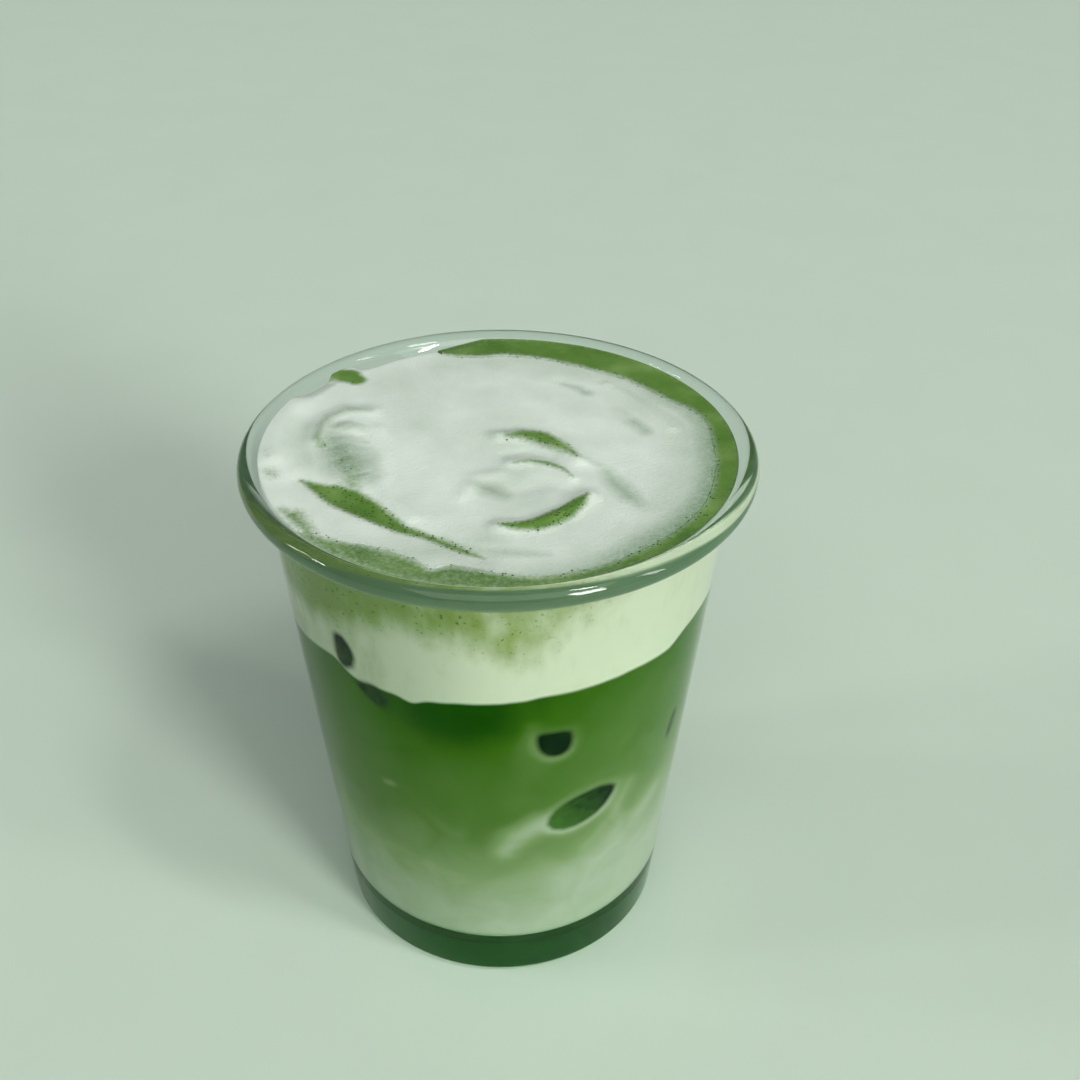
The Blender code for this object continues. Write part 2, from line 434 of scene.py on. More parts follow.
@dataclass(frozen=True)
class FoamFinish:
    """Whipped milk foam with tea froth in it: satin white, and green with dark bubble pits at its edges."""

    name: str
    white: str = "eef5ee"
    hollow_white: str = "cad6ca"
    haze: str = "8ca38a"
    froth: str = "5e8338"
    froth_dark: str = "4b7427"
    froth_pale: str = "779852"
    # Bubble pits: the tea in them, darkened with painted shade.
    pit: str = "2b4f17"
    mottle_size: float = 8 * MM
    edge_size: float = 0.7 * MM
    pit_size: float = 0.6 * MM
    grain_size: float = 0.5 * MM
    roughness: float = 0.55
    specular: float = 0.3
    scattering: float = 0.2
    scatter_depth: float = 1.2 * MM

    def make(self) -> bpy.types.Material:
        """Makes the material from the piece's froth, haze and pit masks and bubble-sized noise."""
        material, tree, shader = new_material(self.name)
        # Foam is satin and lit from within, with a fine grain. Its pits are drawn coarser than real bubbles.
        place = add_node(tree, "ShaderNodeTexCoord").outputs["Object"]
        froth = add_node(tree, "ShaderNodeAttribute", {"attribute_name": Mask.FROTH.value})
        haze = add_node(tree, "ShaderNodeAttribute", {"attribute_name": Mask.HAZE.value})
        mottle = add_node(
            tree, "ShaderNodeTexNoise", values={"Scale": 1 / self.mottle_size, "Detail": 3.0},
            links={"Vector": place},
        )
        edge = add_node(
            tree, "ShaderNodeTexNoise", values={"Scale": 1 / self.edge_size, "Detail": 4.0, "Roughness": 0.65},
            links={"Vector": place},
        )
        ragged = add_node(
            tree, "ShaderNodeMath", {"operation": "MULTIPLY_ADD"}, values={1: 0.64, 2: -0.32},
            links={0: edge.outputs["Fac"]},
        )
        broken = add_node(
            tree, "ShaderNodeMath", {"operation": "ADD"}, links={0: froth.outputs["Fac"], 1: ragged.outputs[0]}
        )
        froth_share = add_node(
            tree, "ShaderNodeMapRange", {"interpolation_type": "SMOOTHSTEP"},
            values={"From Min": 0.08, "From Max": 0.94}, links={"Value": broken.outputs[0]},
        )
        white = add_node(
            tree, "ShaderNodeMix", {"data_type": "RGBA"},
            values={6: linear(self.white), 7: linear(self.hollow_white)}, links={0: mottle.outputs["Fac"]},
        )
        thin = add_node(
            tree, "ShaderNodeMath", {"operation": "MULTIPLY_ADD"}, values={1: 0.9, 2: 0.55},
            links={0: edge.outputs["Fac"]},
        )
        uneven = add_node(
            tree, "ShaderNodeMath", {"operation": "MULTIPLY", "use_clamp": True},
            links={0: haze.outputs["Fac"], 1: thin.outputs[0]},
        )
        hazy = add_node(
            tree, "ShaderNodeMix", {"data_type": "RGBA"}, values={7: linear(self.haze)},
            links={0: uneven.outputs[0], 6: white.outputs[2]},
        )
        green = add_node(tree, "ShaderNodeValToRGB", links={"Fac": mottle.outputs["Fac"]})
        ramp = green.color_ramp
        ramp.elements[0].position, ramp.elements[0].color = 0.3, linear(self.froth_dark)
        ramp.elements[1].position, ramp.elements[1].color = 0.75, linear(self.froth_pale)
        middle = ramp.elements.new(0.52)
        middle.color = linear(self.froth)
        colour = add_node(
            tree, "ShaderNodeMix", {"data_type": "RGBA"},
            links={0: froth_share.outputs[0], 6: hazy.outputs[2], 7: green.outputs["Color"]},
        )
        cells = add_node(
            tree, "ShaderNodeTexVoronoi", values={"Scale": 1 / self.pit_size, "Randomness": 1.0},
            links={"Vector": place},
        )
        pit = add_node(
            tree, "ShaderNodeMapRange", {"interpolation_type": "SMOOTHSTEP"},
            values={"From Min": 0.4, "From Max": 0.16}, links={"Value": cells.outputs["Distance"]},
        )
        pits = add_node(tree, "ShaderNodeAttribute", {"attribute_name": Mask.PITS.value})
        patchy = add_node(
            tree, "ShaderNodeMath", {"operation": "MULTIPLY"},
            links={0: pits.outputs["Fac"], 1: mottle.outputs["Fac"]},
        )
        chosen = add_node(
            tree, "ShaderNodeMath", {"operation": "LESS_THAN"},
            links={0: cells.outputs["Color"], 1: patchy.outputs[0]},
        )
        pit_share = add_node(
            tree, "ShaderNodeMath", {"operation": "MULTIPLY"}, links={0: pit.outputs[0], 1: chosen.outputs[0]}
        )
        # Each pit is near-black green: the tea in a broken bubble, with painted shade in its hollow.
        pitted = add_node(
            tree, "ShaderNodeMix", {"data_type": "RGBA"}, values={7: linear(self.pit)},
            links={0: pit_share.outputs[0], 6: colour.outputs[2]},
        )
        tree.links.new(pitted.outputs[2], shader.inputs["Base Color"])
        grain = add_node(
            tree, "ShaderNodeTexNoise", values={"Scale": 1 / self.grain_size, "Detail": 2.0},
            links={"Vector": place},
        )
        height = add_node(
            tree, "ShaderNodeMath", {"operation": "MULTIPLY_ADD"}, values={1: -3.0},
            links={0: pit_share.outputs[0], 2: grain.outputs["Fac"]},
        )
        bump = add_node(
            tree, "ShaderNodeBump", values={"Strength": 0.6, "Distance": 0.2 * MM},
            links={"Height": height.outputs[0]},
        )
        tree.links.new(bump.outputs["Normal"], shader.inputs["Normal"])
        shader.inputs["Roughness"].default_value = self.roughness
        shader.inputs["Specular IOR Level"].default_value = self.specular
        shader.inputs["Subsurface Weight"].default_value = self.scattering
        shader.inputs["Subsurface Radius"].default_value = (1.0, 1.0, 0.7)
        shader.inputs["Subsurface Scale"].default_value = self.scatter_depth
        return material


@dataclass(frozen=True)
class IceFinish:
    """Clear ice pressed against the glass: a dark wet window into the green drink. Its near-black green is
    painted shade, for the unlit drink seen through the ice.
    """

    name: str
    dark: str = "03200b"
    light: str = "4a7831"
    grain_size: float = 1.6 * MM
    roughness: float = 0.25

    def colour(self, tree: bpy.types.NodeTree, place: bpy.types.NodeSocket) -> bpy.types.NodeSocket:
        """Adds the window's colour, a painted shade of near-black green that clears in streaks, to a material.

        Args:
            tree: The material's node tree.
            place: The socket with object coordinates.

        Returns:
            The socket with the colour.
        """
        light = add_node(tree, "ShaderNodeAttribute", {"attribute_name": Mask.HAZE.value})
        streaks = add_node(
            tree, "ShaderNodeTexNoise", values={"Scale": 1 / self.grain_size, "Detail": 3.0},
            links={"Vector": place},
        )
        broken = add_node(
            tree, "ShaderNodeMath", {"operation": "MULTIPLY_ADD"}, values={1: 0.7, 2: -0.35},
            links={0: streaks.outputs["Fac"]},
        )
        share = add_node(
            tree, "ShaderNodeMath", {"operation": "ADD", "use_clamp": True},
            links={0: light.outputs["Fac"], 1: broken.outputs[0]},
        )
        colour = add_node(
            tree, "ShaderNodeMix", {"data_type": "RGBA"}, values={6: linear(self.dark), 7: linear(self.light)},
            links={0: share.outputs[0]},
        )
        return colour.outputs[2]

    def make(self) -> bpy.types.Material:
        """Makes the material from the window's clearness mask."""
        material, tree, shader = new_material(self.name)
        # Ice is seen through a thin layer of drink and the wall, so it gives no gloss of its own. Its face is
        # opaque, with the shade behind it painted on.
        place = add_node(tree, "ShaderNodeTexCoord").outputs["Object"]
        tree.links.new(self.colour(tree, place), shader.inputs["Base Color"])
        shader.inputs["Roughness"].default_value = self.roughness
        shader.inputs["Specular IOR Level"].default_value = 0.0
        return material


@dataclass(frozen=True)
class DrinkFinish:
    """Tea and milk as they show through the wall: opaque and cloudy, dark green above and pale below."""

    name: str
    deep_tea: str = "114800"
    tea: str = "38680c"
    clouded_tea: str = "557b36"
    milky_tea: str = "809c68"
    milk: str = "b2c2aa"
    cream: str = "dfe9cf"
    stain_and_shade: str = "879f4b"
    # The grey-green of the shade painted under the lip and on the left.
    painted_shade: str = "6a8a69"
    cloud_size: float = 9 * MM
    streak_size: float = 3.6 * MM
    speck_size: float = 0.8 * MM
    roughness: float = 0.6

    def make(self) -> bpy.types.Material:
        """Makes the material from the piece's masks, broken up by cloudy noise."""
        material, tree, shader = new_material(self.name)
        # The wall's glass carries the gloss, so the drink behind it is matt: clouds, streaks and fine specks.
        place = add_node(tree, "ShaderNodeTexCoord").outputs["Object"]
        milkiness = add_node(tree, "ShaderNodeAttribute", {"attribute_name": Mask.MILKINESS.value})
        cream = add_node(tree, "ShaderNodeAttribute", {"attribute_name": Mask.CREAM.value})
        stain_and_shade = add_node(tree, "ShaderNodeAttribute", {"attribute_name": Mask.STAIN.value})
        clouds = add_node(
            tree, "ShaderNodeTexNoise", values={"Scale": 1 / self.cloud_size, "Detail": 3.0, "Distortion": 0.6},
            links={"Vector": place},
        )
        stretched = add_node(
            tree, "ShaderNodeMapping", values={"Scale": (1.0, 1.0, 0.5)}, links={"Vector": place}
        )
        streaks = add_node(
            tree, "ShaderNodeTexNoise", values={"Scale": 1 / self.streak_size, "Detail": 3.0, "Roughness": 0.5},
            links={"Vector": stretched.outputs["Vector"]},
        )
        cloudy = add_node(
            tree, "ShaderNodeMath", {"operation": "MULTIPLY_ADD"}, values={1: 0.22, 2: -0.11},
            links={0: clouds.outputs["Fac"]},
        )
        share = add_node(
            tree, "ShaderNodeMath", {"operation": "ADD"},
            links={0: milkiness.outputs["Fac"], 1: cloudy.outputs[0]},
        )
        body = add_node(tree, "ShaderNodeValToRGB", links={"Fac": share.outputs[0]})
        ramp = body.color_ramp
        ramp.elements[0].position, ramp.elements[0].color = 0.02, linear(self.deep_tea)
        ramp.elements[1].position, ramp.elements[1].color = 1.0, linear(self.milk)
        for position, colour in ((0.25, self.tea), (0.5, self.clouded_tea), (0.75, self.milky_tea)):
            ramp.elements.new(position).color = linear(colour)
        spotty = add_node(
            tree, "ShaderNodeMath", {"operation": "MULTIPLY_ADD"}, values={1: 0.9, 2: -0.45},
            links={0: streaks.outputs["Fac"]},
        )
        # The mask holds real staining and, on the left, painted shade.
        stained = add_node(
            tree, "ShaderNodeMath", {"operation": "ADD"}, links={0: stain_and_shade.outputs["Fac"], 1: spotty.outputs[0]}
        )
        stain_and_shade_share = add_node(
            tree, "ShaderNodeMapRange", {"interpolation_type": "SMOOTHSTEP"},
            values={"From Min": 0.0, "From Max": 1.05}, links={"Value": stained.outputs[0]},
        )
        creamy = add_node(
            tree, "ShaderNodeMix", {"data_type": "RGBA"}, values={6: linear(self.cream), 7: linear(self.stain_and_shade)},
            links={0: stain_and_shade_share.outputs[0]},
        )
        specks = add_node(
            tree, "ShaderNodeTexNoise", values={"Scale": 1 / self.speck_size, "Detail": 3.0},
            links={"Vector": place},
        )
        sparse = add_node(
            tree, "ShaderNodeMapRange", {"interpolation_type": "SMOOTHSTEP"},
            values={"From Min": 0.6, "From Max": 0.72}, links={"Value": specks.outputs["Fac"]},
        )
        speck_share = add_node(
            tree, "ShaderNodeMath", {"operation": "MULTIPLY"},
            links={0: sparse.outputs[0], 1: stain_and_shade_share.outputs[0]},
        )
        speckled = add_node(
            tree, "ShaderNodeMix", {"data_type": "RGBA"}, values={7: linear(self.tea)},
            links={0: speck_share.outputs[0], 6: creamy.outputs[2]},
        )
        edge = add_node(
            tree, "ShaderNodeMath", {"operation": "MULTIPLY_ADD"}, values={1: 0.3, 2: -0.15},
            links={0: streaks.outputs["Fac"]},
        )
        wavy = add_node(
            tree, "ShaderNodeMath", {"operation": "ADD"}, links={0: cream.outputs["Fac"], 1: edge.outputs[0]}
        )
        cream_share = add_node(
            tree, "ShaderNodeMapRange", {"interpolation_type": "SMOOTHSTEP"},
            values={"From Min": 0.2, "From Max": 0.8}, links={"Value": wavy.outputs[0]},
        )
        colour = add_node(
            tree, "ShaderNodeMix", {"data_type": "RGBA"},
            links={0: cream_share.outputs[0], 6: body.outputs["Color"], 7: speckled.outputs[2]},
        )
        # Painted shade: the cream turns grey-green under the lip and, more faintly, down the left side.
        painted_shade = add_node(tree, "ShaderNodeAttribute", {"attribute_name": Mask.FILM.value})
        with_painted_shade = add_node(
            tree, "ShaderNodeMix", {"data_type": "RGBA"}, values={7: linear(self.painted_shade)},
            links={0: painted_shade.outputs["Fac"], 6: colour.outputs[2]},
        )
        # Where ice touches the wall, the window's painted shade covers the drink's colour.
        window = add_node(tree, "ShaderNodeAttribute", {"attribute_name": Mask.WINDOW.value})
        seen = add_node(
            tree, "ShaderNodeMix", {"data_type": "RGBA"},
            links={0: window.outputs["Fac"], 6: with_painted_shade.outputs[2], 7: IceFinish("ice").colour(tree, place)},
        )
        tree.links.new(seen.outputs[2], shader.inputs["Base Color"])
        shader.inputs["Roughness"].default_value = self.roughness
        shader.inputs["Specular IOR Level"].default_value = 0.0
        return material


@dataclass(frozen=True)
class FloorFinish:
    """A plain pale painted board."""

    name: str = "matt_painted_board"
    colour: str = "c9d8ca"
    pale_colour: str = "cedccf"
    grain_size: float = 30 * MM
    roughness: float = 0.8
    specular: float = 0.2

    def make(self) -> bpy.types.Material:
        """Makes the material from two near colours."""
        material, tree, shader = new_material(self.name)
        # Matt paint looks even and chalky, with hardly any sheen.
        place = add_node(tree, "ShaderNodeTexCoord").outputs["Object"]
        grain = add_node(
            tree, "ShaderNodeTexNoise", values={"Scale": 1 / self.grain_size, "Detail": 4.0},
            links={"Vector": place},
        )
        colour = add_node(
            tree, "ShaderNodeMix", {"data_type": "RGBA"},
            values={6: linear(self.colour), 7: linear(self.pale_colour)}, links={0: grain.outputs["Fac"]},
        )
        tree.links.new(colour.outputs[2], shader.inputs["Base Color"])
        shader.inputs["Roughness"].default_value = self.roughness
        shader.inputs["Specular IOR Level"].default_value = self.specular
        return material


@dataclass(frozen=True)
class Stroke:
    """A line of froth or haze on the foam.

    Attributes:
        points: Places along it as x, y and half width, in millimetres.
        strength: How strongly it shows, from 0 to 1.
        softness: How wide its edge fades, in millimetres.
        pits: How thickly dark bubble pits stand in it, from 0 to 1.
    """

    points: tuple[tuple[float, float, float], ...]
    strength: float = 1.0
    softness: float = 0.9
    pits: float = 0.0

    def share(self, x: np.ndarray, y: np.ndarray) -> np.ndarray:
        """How much of the stroke lies at some places.

        Args:
            x: Places across, in millimetres.
            y: Places in depth, in millimetres.

        Returns:
            From 0, off the stroke, to its strength.
        """
        best = np.zeros_like(x)
        for (x0, y0, w0), (x1, y1, w1) in zip(self.points, self.points[1:]):
            along, gap = off_segment(x, y, (x0, y0), (x1, y1))
            best = np.maximum(best, 0.5 + (w0 + along * (w1 - w0) - gap) / (2 * self.softness))
        return np.clip(best, 0, 1) * self.strength


@dataclass(frozen=True)
class Fold:
    """A soft ridge or groove in the foam: places as x and y, a half width and a height, all in millimetres."""

    points: Stops
    half_width: float
    height: float

    def lift(self, x: np.ndarray, y: np.ndarray) -> np.ndarray:
        """How far the fold lifts the foam at some places, all in millimetres."""
        nearest = np.full_like(x, np.inf)
        for start, end in zip(self.points, self.points[1:]):
            nearest = np.minimum(nearest, off_segment(x, y, start, end)[1])
        return self.height * np.exp(-((nearest / self.half_width) ** 2))


@dataclass(frozen=True)
class FoamSurface:
    """The form and the pattern of the foam's top, which the cream and the froth band share."""

    form: TumblerForm
    level: float = 100.5 * MM
    dip_width: float = 3.6 * MM
    band_span: tuple[float, float] = (-50.0, 197.0)
    band_radii: Stops = (
        (-174, 34.1), (-167, 35.0), (-162, 37.1), (-160, 42.0), (-56, 43.0), (-50, 40.6), (-48, 39.6),
        (-42, 38.4), (-36, 36.6), (-27, 35.9), (-21, 36.3), (-18, 37.6), (-15.6, 38.3), (-13, 36.5),
        (-10, 36.2), (-5, 36.8), (1, 38.0), (8, 39.2), (20, 39.4), (35, 38.8), (50, 38.7), (61, 38.6),
        (71, 38.0), (91, 37.5), (101, 38.2), (109, 37.7), (117, 35.5), (126, 34.6), (136, 34.4), (147, 33.6),
        (157, 33.5), (167, 34.2), (178, 34.7),
    )
    band_strengths: Stops = ((-170, 0.9), (-50, 0.74), (0, 0.78), (60, 0.92), (130, 1.0))
    band_haze: Stops = (
        (-60, 0.0), (0, 0.25), (20, 0.55), (35, 0.95), (85, 0.95), (110, 0.7), (130, 0.4), (160, 0.2),
        (180, 0.0),
    )
    band_haze_width: float = 4.2
    band_softness: float = 2.6 * MM
    climb_width: float = 1.1 * MM
    climb_fading: float = 0.16
    pit_density: float = 1.6
    edge_pits: float = 0.5
    folds: tuple[Fold, ...] = (
        Fold(((-33, -10), (-28, -14), (-22, -19), (-16, -25), (-8, -30), (-3, -33)), 2.6, -0.4),
        Fold(((-23.5, 12.7), (-27.7, 12.9), (-30.7, 10.4), (-31.8, 7.1), (-32, 2.7)), 2.0, 0.5),
        Fold(((-37, 17), (-39, 8), (-39, -3)), 3.0, 0.5), Fold(((-26.5, 6), (-25.5, -2), (-24, -9)), 4.0, 0.6),
        Fold(((-21.5, 6), (-20.5, -2), (-20, -9), (-18, -16), (-14, -22)), 1.5, 0.25),
        Fold(((0, 3.4), (4, 3.8), (8, 2.6), (11, -1), (13.5, -5)), 1.8, 0.6),
        Fold(((2, -5.6), (6.2, -5), (9.8, -7), (12.2, -10.5)), 1.3, 0.4),
        Fold(((0, -25), (4.5, -25), (8, -23.2), (11.6, -20.4), (14.6, -16.4)), 1.8, 0.7),
        Fold(((20.5, 22), (26, 14), (30.5, 6)), 1.5, 0.4), Fold(((-7, 13), (4, 15)), 11, 0.3),
        Fold(((-27.6, 6.6), (-26.6, 6.9), (-25.6, 6.2)), 1.4, 0.3),
        Fold(((-30, 3.0), (-27, 3.8), (-24.5, 3.0)), 0.8, -0.1),
        Fold(((-29.5, -0.4), (-26.5, 1.0), (-23.5, -0.4)), 0.8, -0.12),
        Fold(((-28, -4.4), (-25.5, -3.0), (-22.8, -4.6)), 0.8, -0.1),
        Fold(((-24, -9.5), (-22, -8.6), (-21, -10)), 0.7, -0.2),
        Fold(((1, -2.5), (5, -1.6), (9, -3.4)), 1.2, -0.2), Fold(((4, -14), (8, -12), (11, -13.5)), 2.4, -0.3),
        Fold(((-6, -16), (-4, -10), (0, -9)), 1.6, 0.25), Fold(((12, 24), (16, 20)), 1.6, -0.25),
        Fold(((20, -10), (23, -18)), 2.0, -0.3),
    )
    dip_depths: Stops = (
        (-176, 0.0), (-166, 1.0), (-160, 1.6), (-150, 1.8), (-143, 1.8), (-140, 1.5), (-137.5, 0.1),
        (-130.5, -0.1), (-128, 1.0), (-121, 0.9), (-114, 0.1), (-108, 0.0),
    )
    froth_strokes: tuple[Stroke, ...] = (
        Stroke(
            (
                (-33.4, -9.9, 0.2), (-30.6, -12.3, 1.2), (-28.0, -14.2, 2.3), (-25.2, -16.4, 3.0),
                (-22.2, -19.0, 2.7), (-19.2, -21.8, 2.0), (-16.0, -24.8, 1.2), (-12.1, -26.9, 0.7),
                (-8.5, -29.3, 0.7), (-5.3, -31.6, 0.6), (-2.7, -33.2, 0.1),
            ),
            softness=1.0, pits=1.0,
        ),
        Stroke(((-27.8, -5.4, 0.6), (-25.2, -9.0, 1.0), (-24.6, -12.5, 1.6)), 0.55, 1.6, 0.6),
        Stroke(((-31.8, 4.0, 0.1), (-31.4, 1.6, 0.6), (-30.8, 0.6, 0.8)), 0.7, 1.4, 0.3),
        Stroke(((-28.0, -1.0, 1.2), (-27.0, -4.5, 2.0), (-25.4, -9.0, 2.0)), 0.36, 2.6, 0.4),
        Stroke(
            (
                (1.5, 3.0, 0.4), (4.4, 3.4, 1.3), (7.2, 2.6, 1.9), (9.6, 0.6, 1.6), (11.6, -1.6, 1.1),
                (13.2, -3.6, 0.4),
            ),
            1.0, 1.5, 0.6,
        ),
        Stroke(
            ((2.3, -5.9, 0.1), (5.2, -5.2, 0.5), (8.2, -6.1, 0.7), (10.7, -7.8, 0.5), (12.4, -10.4, 0.1)), 0.85,
            0.8, 0.4,
        ),
        Stroke(
            (
                (-0.1, -25.2, 0.3), (2.9, -25.5, 1.0), (5.7, -25.0, 1.5), (8.2, -23.4, 1.8), (10.8, -21.4, 1.7),
                (13.1, -18.4, 1.2), (14.6, -16.4, 0.3),
            ),
            softness=0.9, pits=1.0,
        ),
        Stroke(((-31.0, 27.6, 2.0), (-28.6, 26.6, 2.6), (-26.6, 24.8, 1.8)), 1.0, 1.0, 0.2),
        Stroke(((-39.2, -7.6, 1.0), (-38.2, -8.6, 1.0)), 0.62, 2.0, 0.2),
        Stroke(((-40.6, -1.0, 1.0), (-39.6, -3.0, 0.8)), 0.4, 2.2),
        Stroke(
            ((-35.6, -19.6, 0.6), (-33.4, -21.2, 1.6), (-31.6, -24.0, 1.2), (-30, -27.0, 1.0)), 0.8, 1.8, 0.2
        ),
    )
    haze_strokes: tuple[Stroke, ...] = (
        Stroke(((-9.0, -27.6, 0.3), (-3.1, -31.4, 1.0), (2.3, -32.4, 0.9), (7.6, -33.0, 0.2)), 0.6, 1.6),
        Stroke(
            ((-23.2, 12.6, 0.2), (-27.2, 12.9, 0.6), (-30.4, 10.4, 0.7), (-31.7, 7.0, 0.8), (-32.0, 2.6, 0.8)),
            0.9, 1.1,
        ),
        Stroke(((-34.0, 8.0, 1.0), (-34.2, 2.0, 1.4), (-32.5, -5.0, 1.2)), 0.45, 3.4),
        Stroke(((-30.0, 6.8, 0.6), (-27.6, 6.4, 1.3), (-24.6, 6.0, 0.6)), 0.7, 1.5),
        Stroke(((-30.4, 2.0, 0.3), (-26.9, 1.2, 0.5), (-23.2, 1.0, 0.2)), 0.7, 1.0),
        Stroke(((-29.5, 3.0, 1.5), (-28.0, 0.0, 2.8), (-26.0, -5.0, 3.6), (-23.6, -9.5, 2.2)), 0.85, 3.0),
        Stroke(((-22.6, -9.6, 0.8), (-21.6, -11.4, 0.9)), 0.6, 1.4),
        Stroke(((-1.0, 2.6, 0.6), (1.8, 4.4, 0.8), (6.0, 4.8, 0.6)), 0.55, 1.8),
        Stroke(((13.2, -3.6, 0.3), (17.6, -6.6, 0.1)), 0.55, 1.2),
        Stroke(((-3.8, -12.4, 0.8), (-1.4, -14.0, 1.8), (0.8, -15.8, 1.2)), 0.7, 1.6),
        Stroke(((22.0, 12.8, 0.6), (24.0, 9.6, 0.8)), 0.4, 2.2),
        Stroke(((24.2, 8.6, 1.0), (26.2, 5.0, 1.0)), 0.75, 1.5),
        Stroke(((18.4, -8.6, 0.9), (19.4, -12.0, 1.5), (21.6, -16.0, 1.7), (23.0, -17.8, 0.9)), 0.7, 1.5),
        Stroke(((12.4, 22.8, 0.2), (14.8, 21.6, 0.7), (16.4, 19.6, 0.8)), 0.7, 1.3),
        Stroke(((-18.0, 24.0, 3.0), (-16.0, 17.0, 4.0), (-13.0, 10.0, 3.0)), 0.26, 6.0),
        Stroke(((8.0, 18.0, 1.5), (12.0, 13.0, 2.5)), 0.2, 4.0),
        Stroke(((-10.0, 30.0, 1.5), (5.0, 33.0, 2.0), (18.0, 27.0, 2.0)), 0.48, 6.0),
        Stroke(((-24.0, -30.0, 1.0), (-12.0, -32.0, 1.5), (-2.0, -28.0, 2.0)), 0.46, 4.0),
        Stroke(((-4.0, 8.0, 6.0), (4.0, -8.0, 6.0), (10.0, -26.0, 4.0)), 0.2, 8.0),
        Stroke(((24.0, 20.0, 2.0), (33.0, 8.0, 3.0), (34.0, -6.0, 3.0), (28.0, -20.0, 2.5)), 0.5, 5.0),
        Stroke(((20.0, -28.0, 2.0), (12.0, -33.0, 1.5)), 0.35, 4.0),
        Stroke(((1.5, -20.0, 2.5), (7.5, -17.0, 2.5)), 0.25, 3.5),
    )

    @property
    def wall(self) -> float:
        """The bore's radius at the foam's level."""
        return self.form.bore_radius(np.array([self.level]))[0]

    def band_edge(self, azimuth: np.ndarray) -> np.ndarray:
        """Radius of the froth band's inner edge at some azimuths, past the wall where there is no band."""
        return closed_curve(self.band_radii, azimuth, 1.4) * MM

    def height(self, x: np.ndarray, y: np.ndarray) -> np.ndarray:
        """Height of the foam's top at some places."""
        lift = sum(fold.lift(x / MM, y / MM) for fold in self.folds) * MM
        depth = closed_curve(self.dip_depths, azimuths(x, y), 1.2) * MM
        near = soft_step((np.hypot(x, y) - self.wall + self.dip_width) / self.dip_width)
        return self.level + lift - depth * near

    def froth_share(self, x: np.ndarray, y: np.ndarray) -> np.ndarray:
        """How much froth lies at some places: the strokes, and the band along the wall."""
        share = np.zeros_like(x)
        for stroke in self.froth_strokes:
            share = np.maximum(share, stroke.share(x / MM, y / MM))
        azimuth = azimuths(x, y)
        inside = 0.5 + (np.hypot(x, y) - self.band_edge(azimuth)) / self.band_softness
        strength = closed_curve(self.band_strengths, azimuth, 12)
        climb = soft_step((np.hypot(x, y) - self.wall + self.climb_width) / self.climb_width)
        return np.maximum(share, np.clip(inside, 0, 1) * strength) * (1 - self.climb_fading * climb)

    def pit_share(self, x: np.ndarray, y: np.ndarray) -> np.ndarray:
        """How thickly bubble pits stand at some places: in the strokes, and along the band's inner edge."""
        share = np.zeros_like(x)
        for stroke in self.froth_strokes:
            share = np.maximum(share, stroke.share(x / MM, y / MM) * stroke.pits)
        over = (np.hypot(x, y) - self.band_edge(azimuths(x, y))) / MM
        return self.pit_density * np.maximum(share, self.edge_pits * np.exp(-(((over - 0.3) / 1.1) ** 2)))

    def haze_share(self, x: np.ndarray, y: np.ndarray) -> np.ndarray:
        """How much thin grey-green haze lies at some places."""
        share = np.zeros_like(x)
        for stroke in self.haze_strokes:
            share = np.maximum(share, stroke.share(x / MM, y / MM))
        azimuth = azimuths(x, y)
        within = np.maximum(self.band_edge(azimuth) - np.hypot(x, y), 0) / MM
        fading = np.exp(-((within / self.band_haze_width) ** 2))
        return np.maximum(share, fading * closed_curve(self.band_haze, azimuth, 6))


@dataclass(frozen=True)
class IceSpot:
    """A half-melted ice cube and the window where it touches the wall.

    Attributes:
        name: The cube's name.
        azimuth: Where its middle touches, in degrees.
        height: Where its middle touches, above the table.
        window: The window's outline round that middle, in millimetres to the right and up.
        half_sizes: Half the cube's width, height and depth.
        light: How clear the window is at its lower left and at its upper right.
        halo: How milky the tea is along the window's edge.
    """

    name: str
    azimuth: float
    height: float
    window: Stops
    half_sizes: tuple[float, float, float]
    light: tuple[float, float] = (0.0, 0.0)
    halo: float = 0.0

    def on_wall(self, azimuth: np.ndarray, height: np.ndarray, radius: float) -> tuple[np.ndarray, np.ndarray]:
        """Places on the wall as millimetres to the right of the window's middle and above it."""
        return np.radians(angle_between(azimuth, self.azimuth)) * radius / MM, (height - self.height) / MM

    def outside(self, across: np.ndarray, up: np.ndarray) -> np.ndarray:
        """How far places lie outside the window's outline, in millimetres, and below 0 inside it."""
        nearest = np.full_like(across, np.inf)
        inside = np.zeros(across.shape, bool)
        for (x0, y0), (x1, y1) in zip(self.window, self.window[1:] + self.window[:1]):
            nearest = np.minimum(nearest, off_segment(across, up, (x0, y0), (x1, y1))[1])
            crosses = (y0 > up) != (y1 > up)
            rise = y1 - y0 if y1 != y0 else 1e-9
            inside ^= crosses & (across < x0 + (up - y0) * (x1 - x0) / rise)
        return np.where(inside, -nearest, nearest)

    def lightness(self, across: np.ndarray, up: np.ndarray) -> np.ndarray:
        """How clear the window is at some places, from its lower left to its upper right."""
        spread = max(abs(x) + abs(y) for x, y in self.window)
        share = np.clip(0.5 + 0.5 * (across + up) / spread, 0, 1)
        return self.light[0] + (self.light[1] - self.light[0]) * share


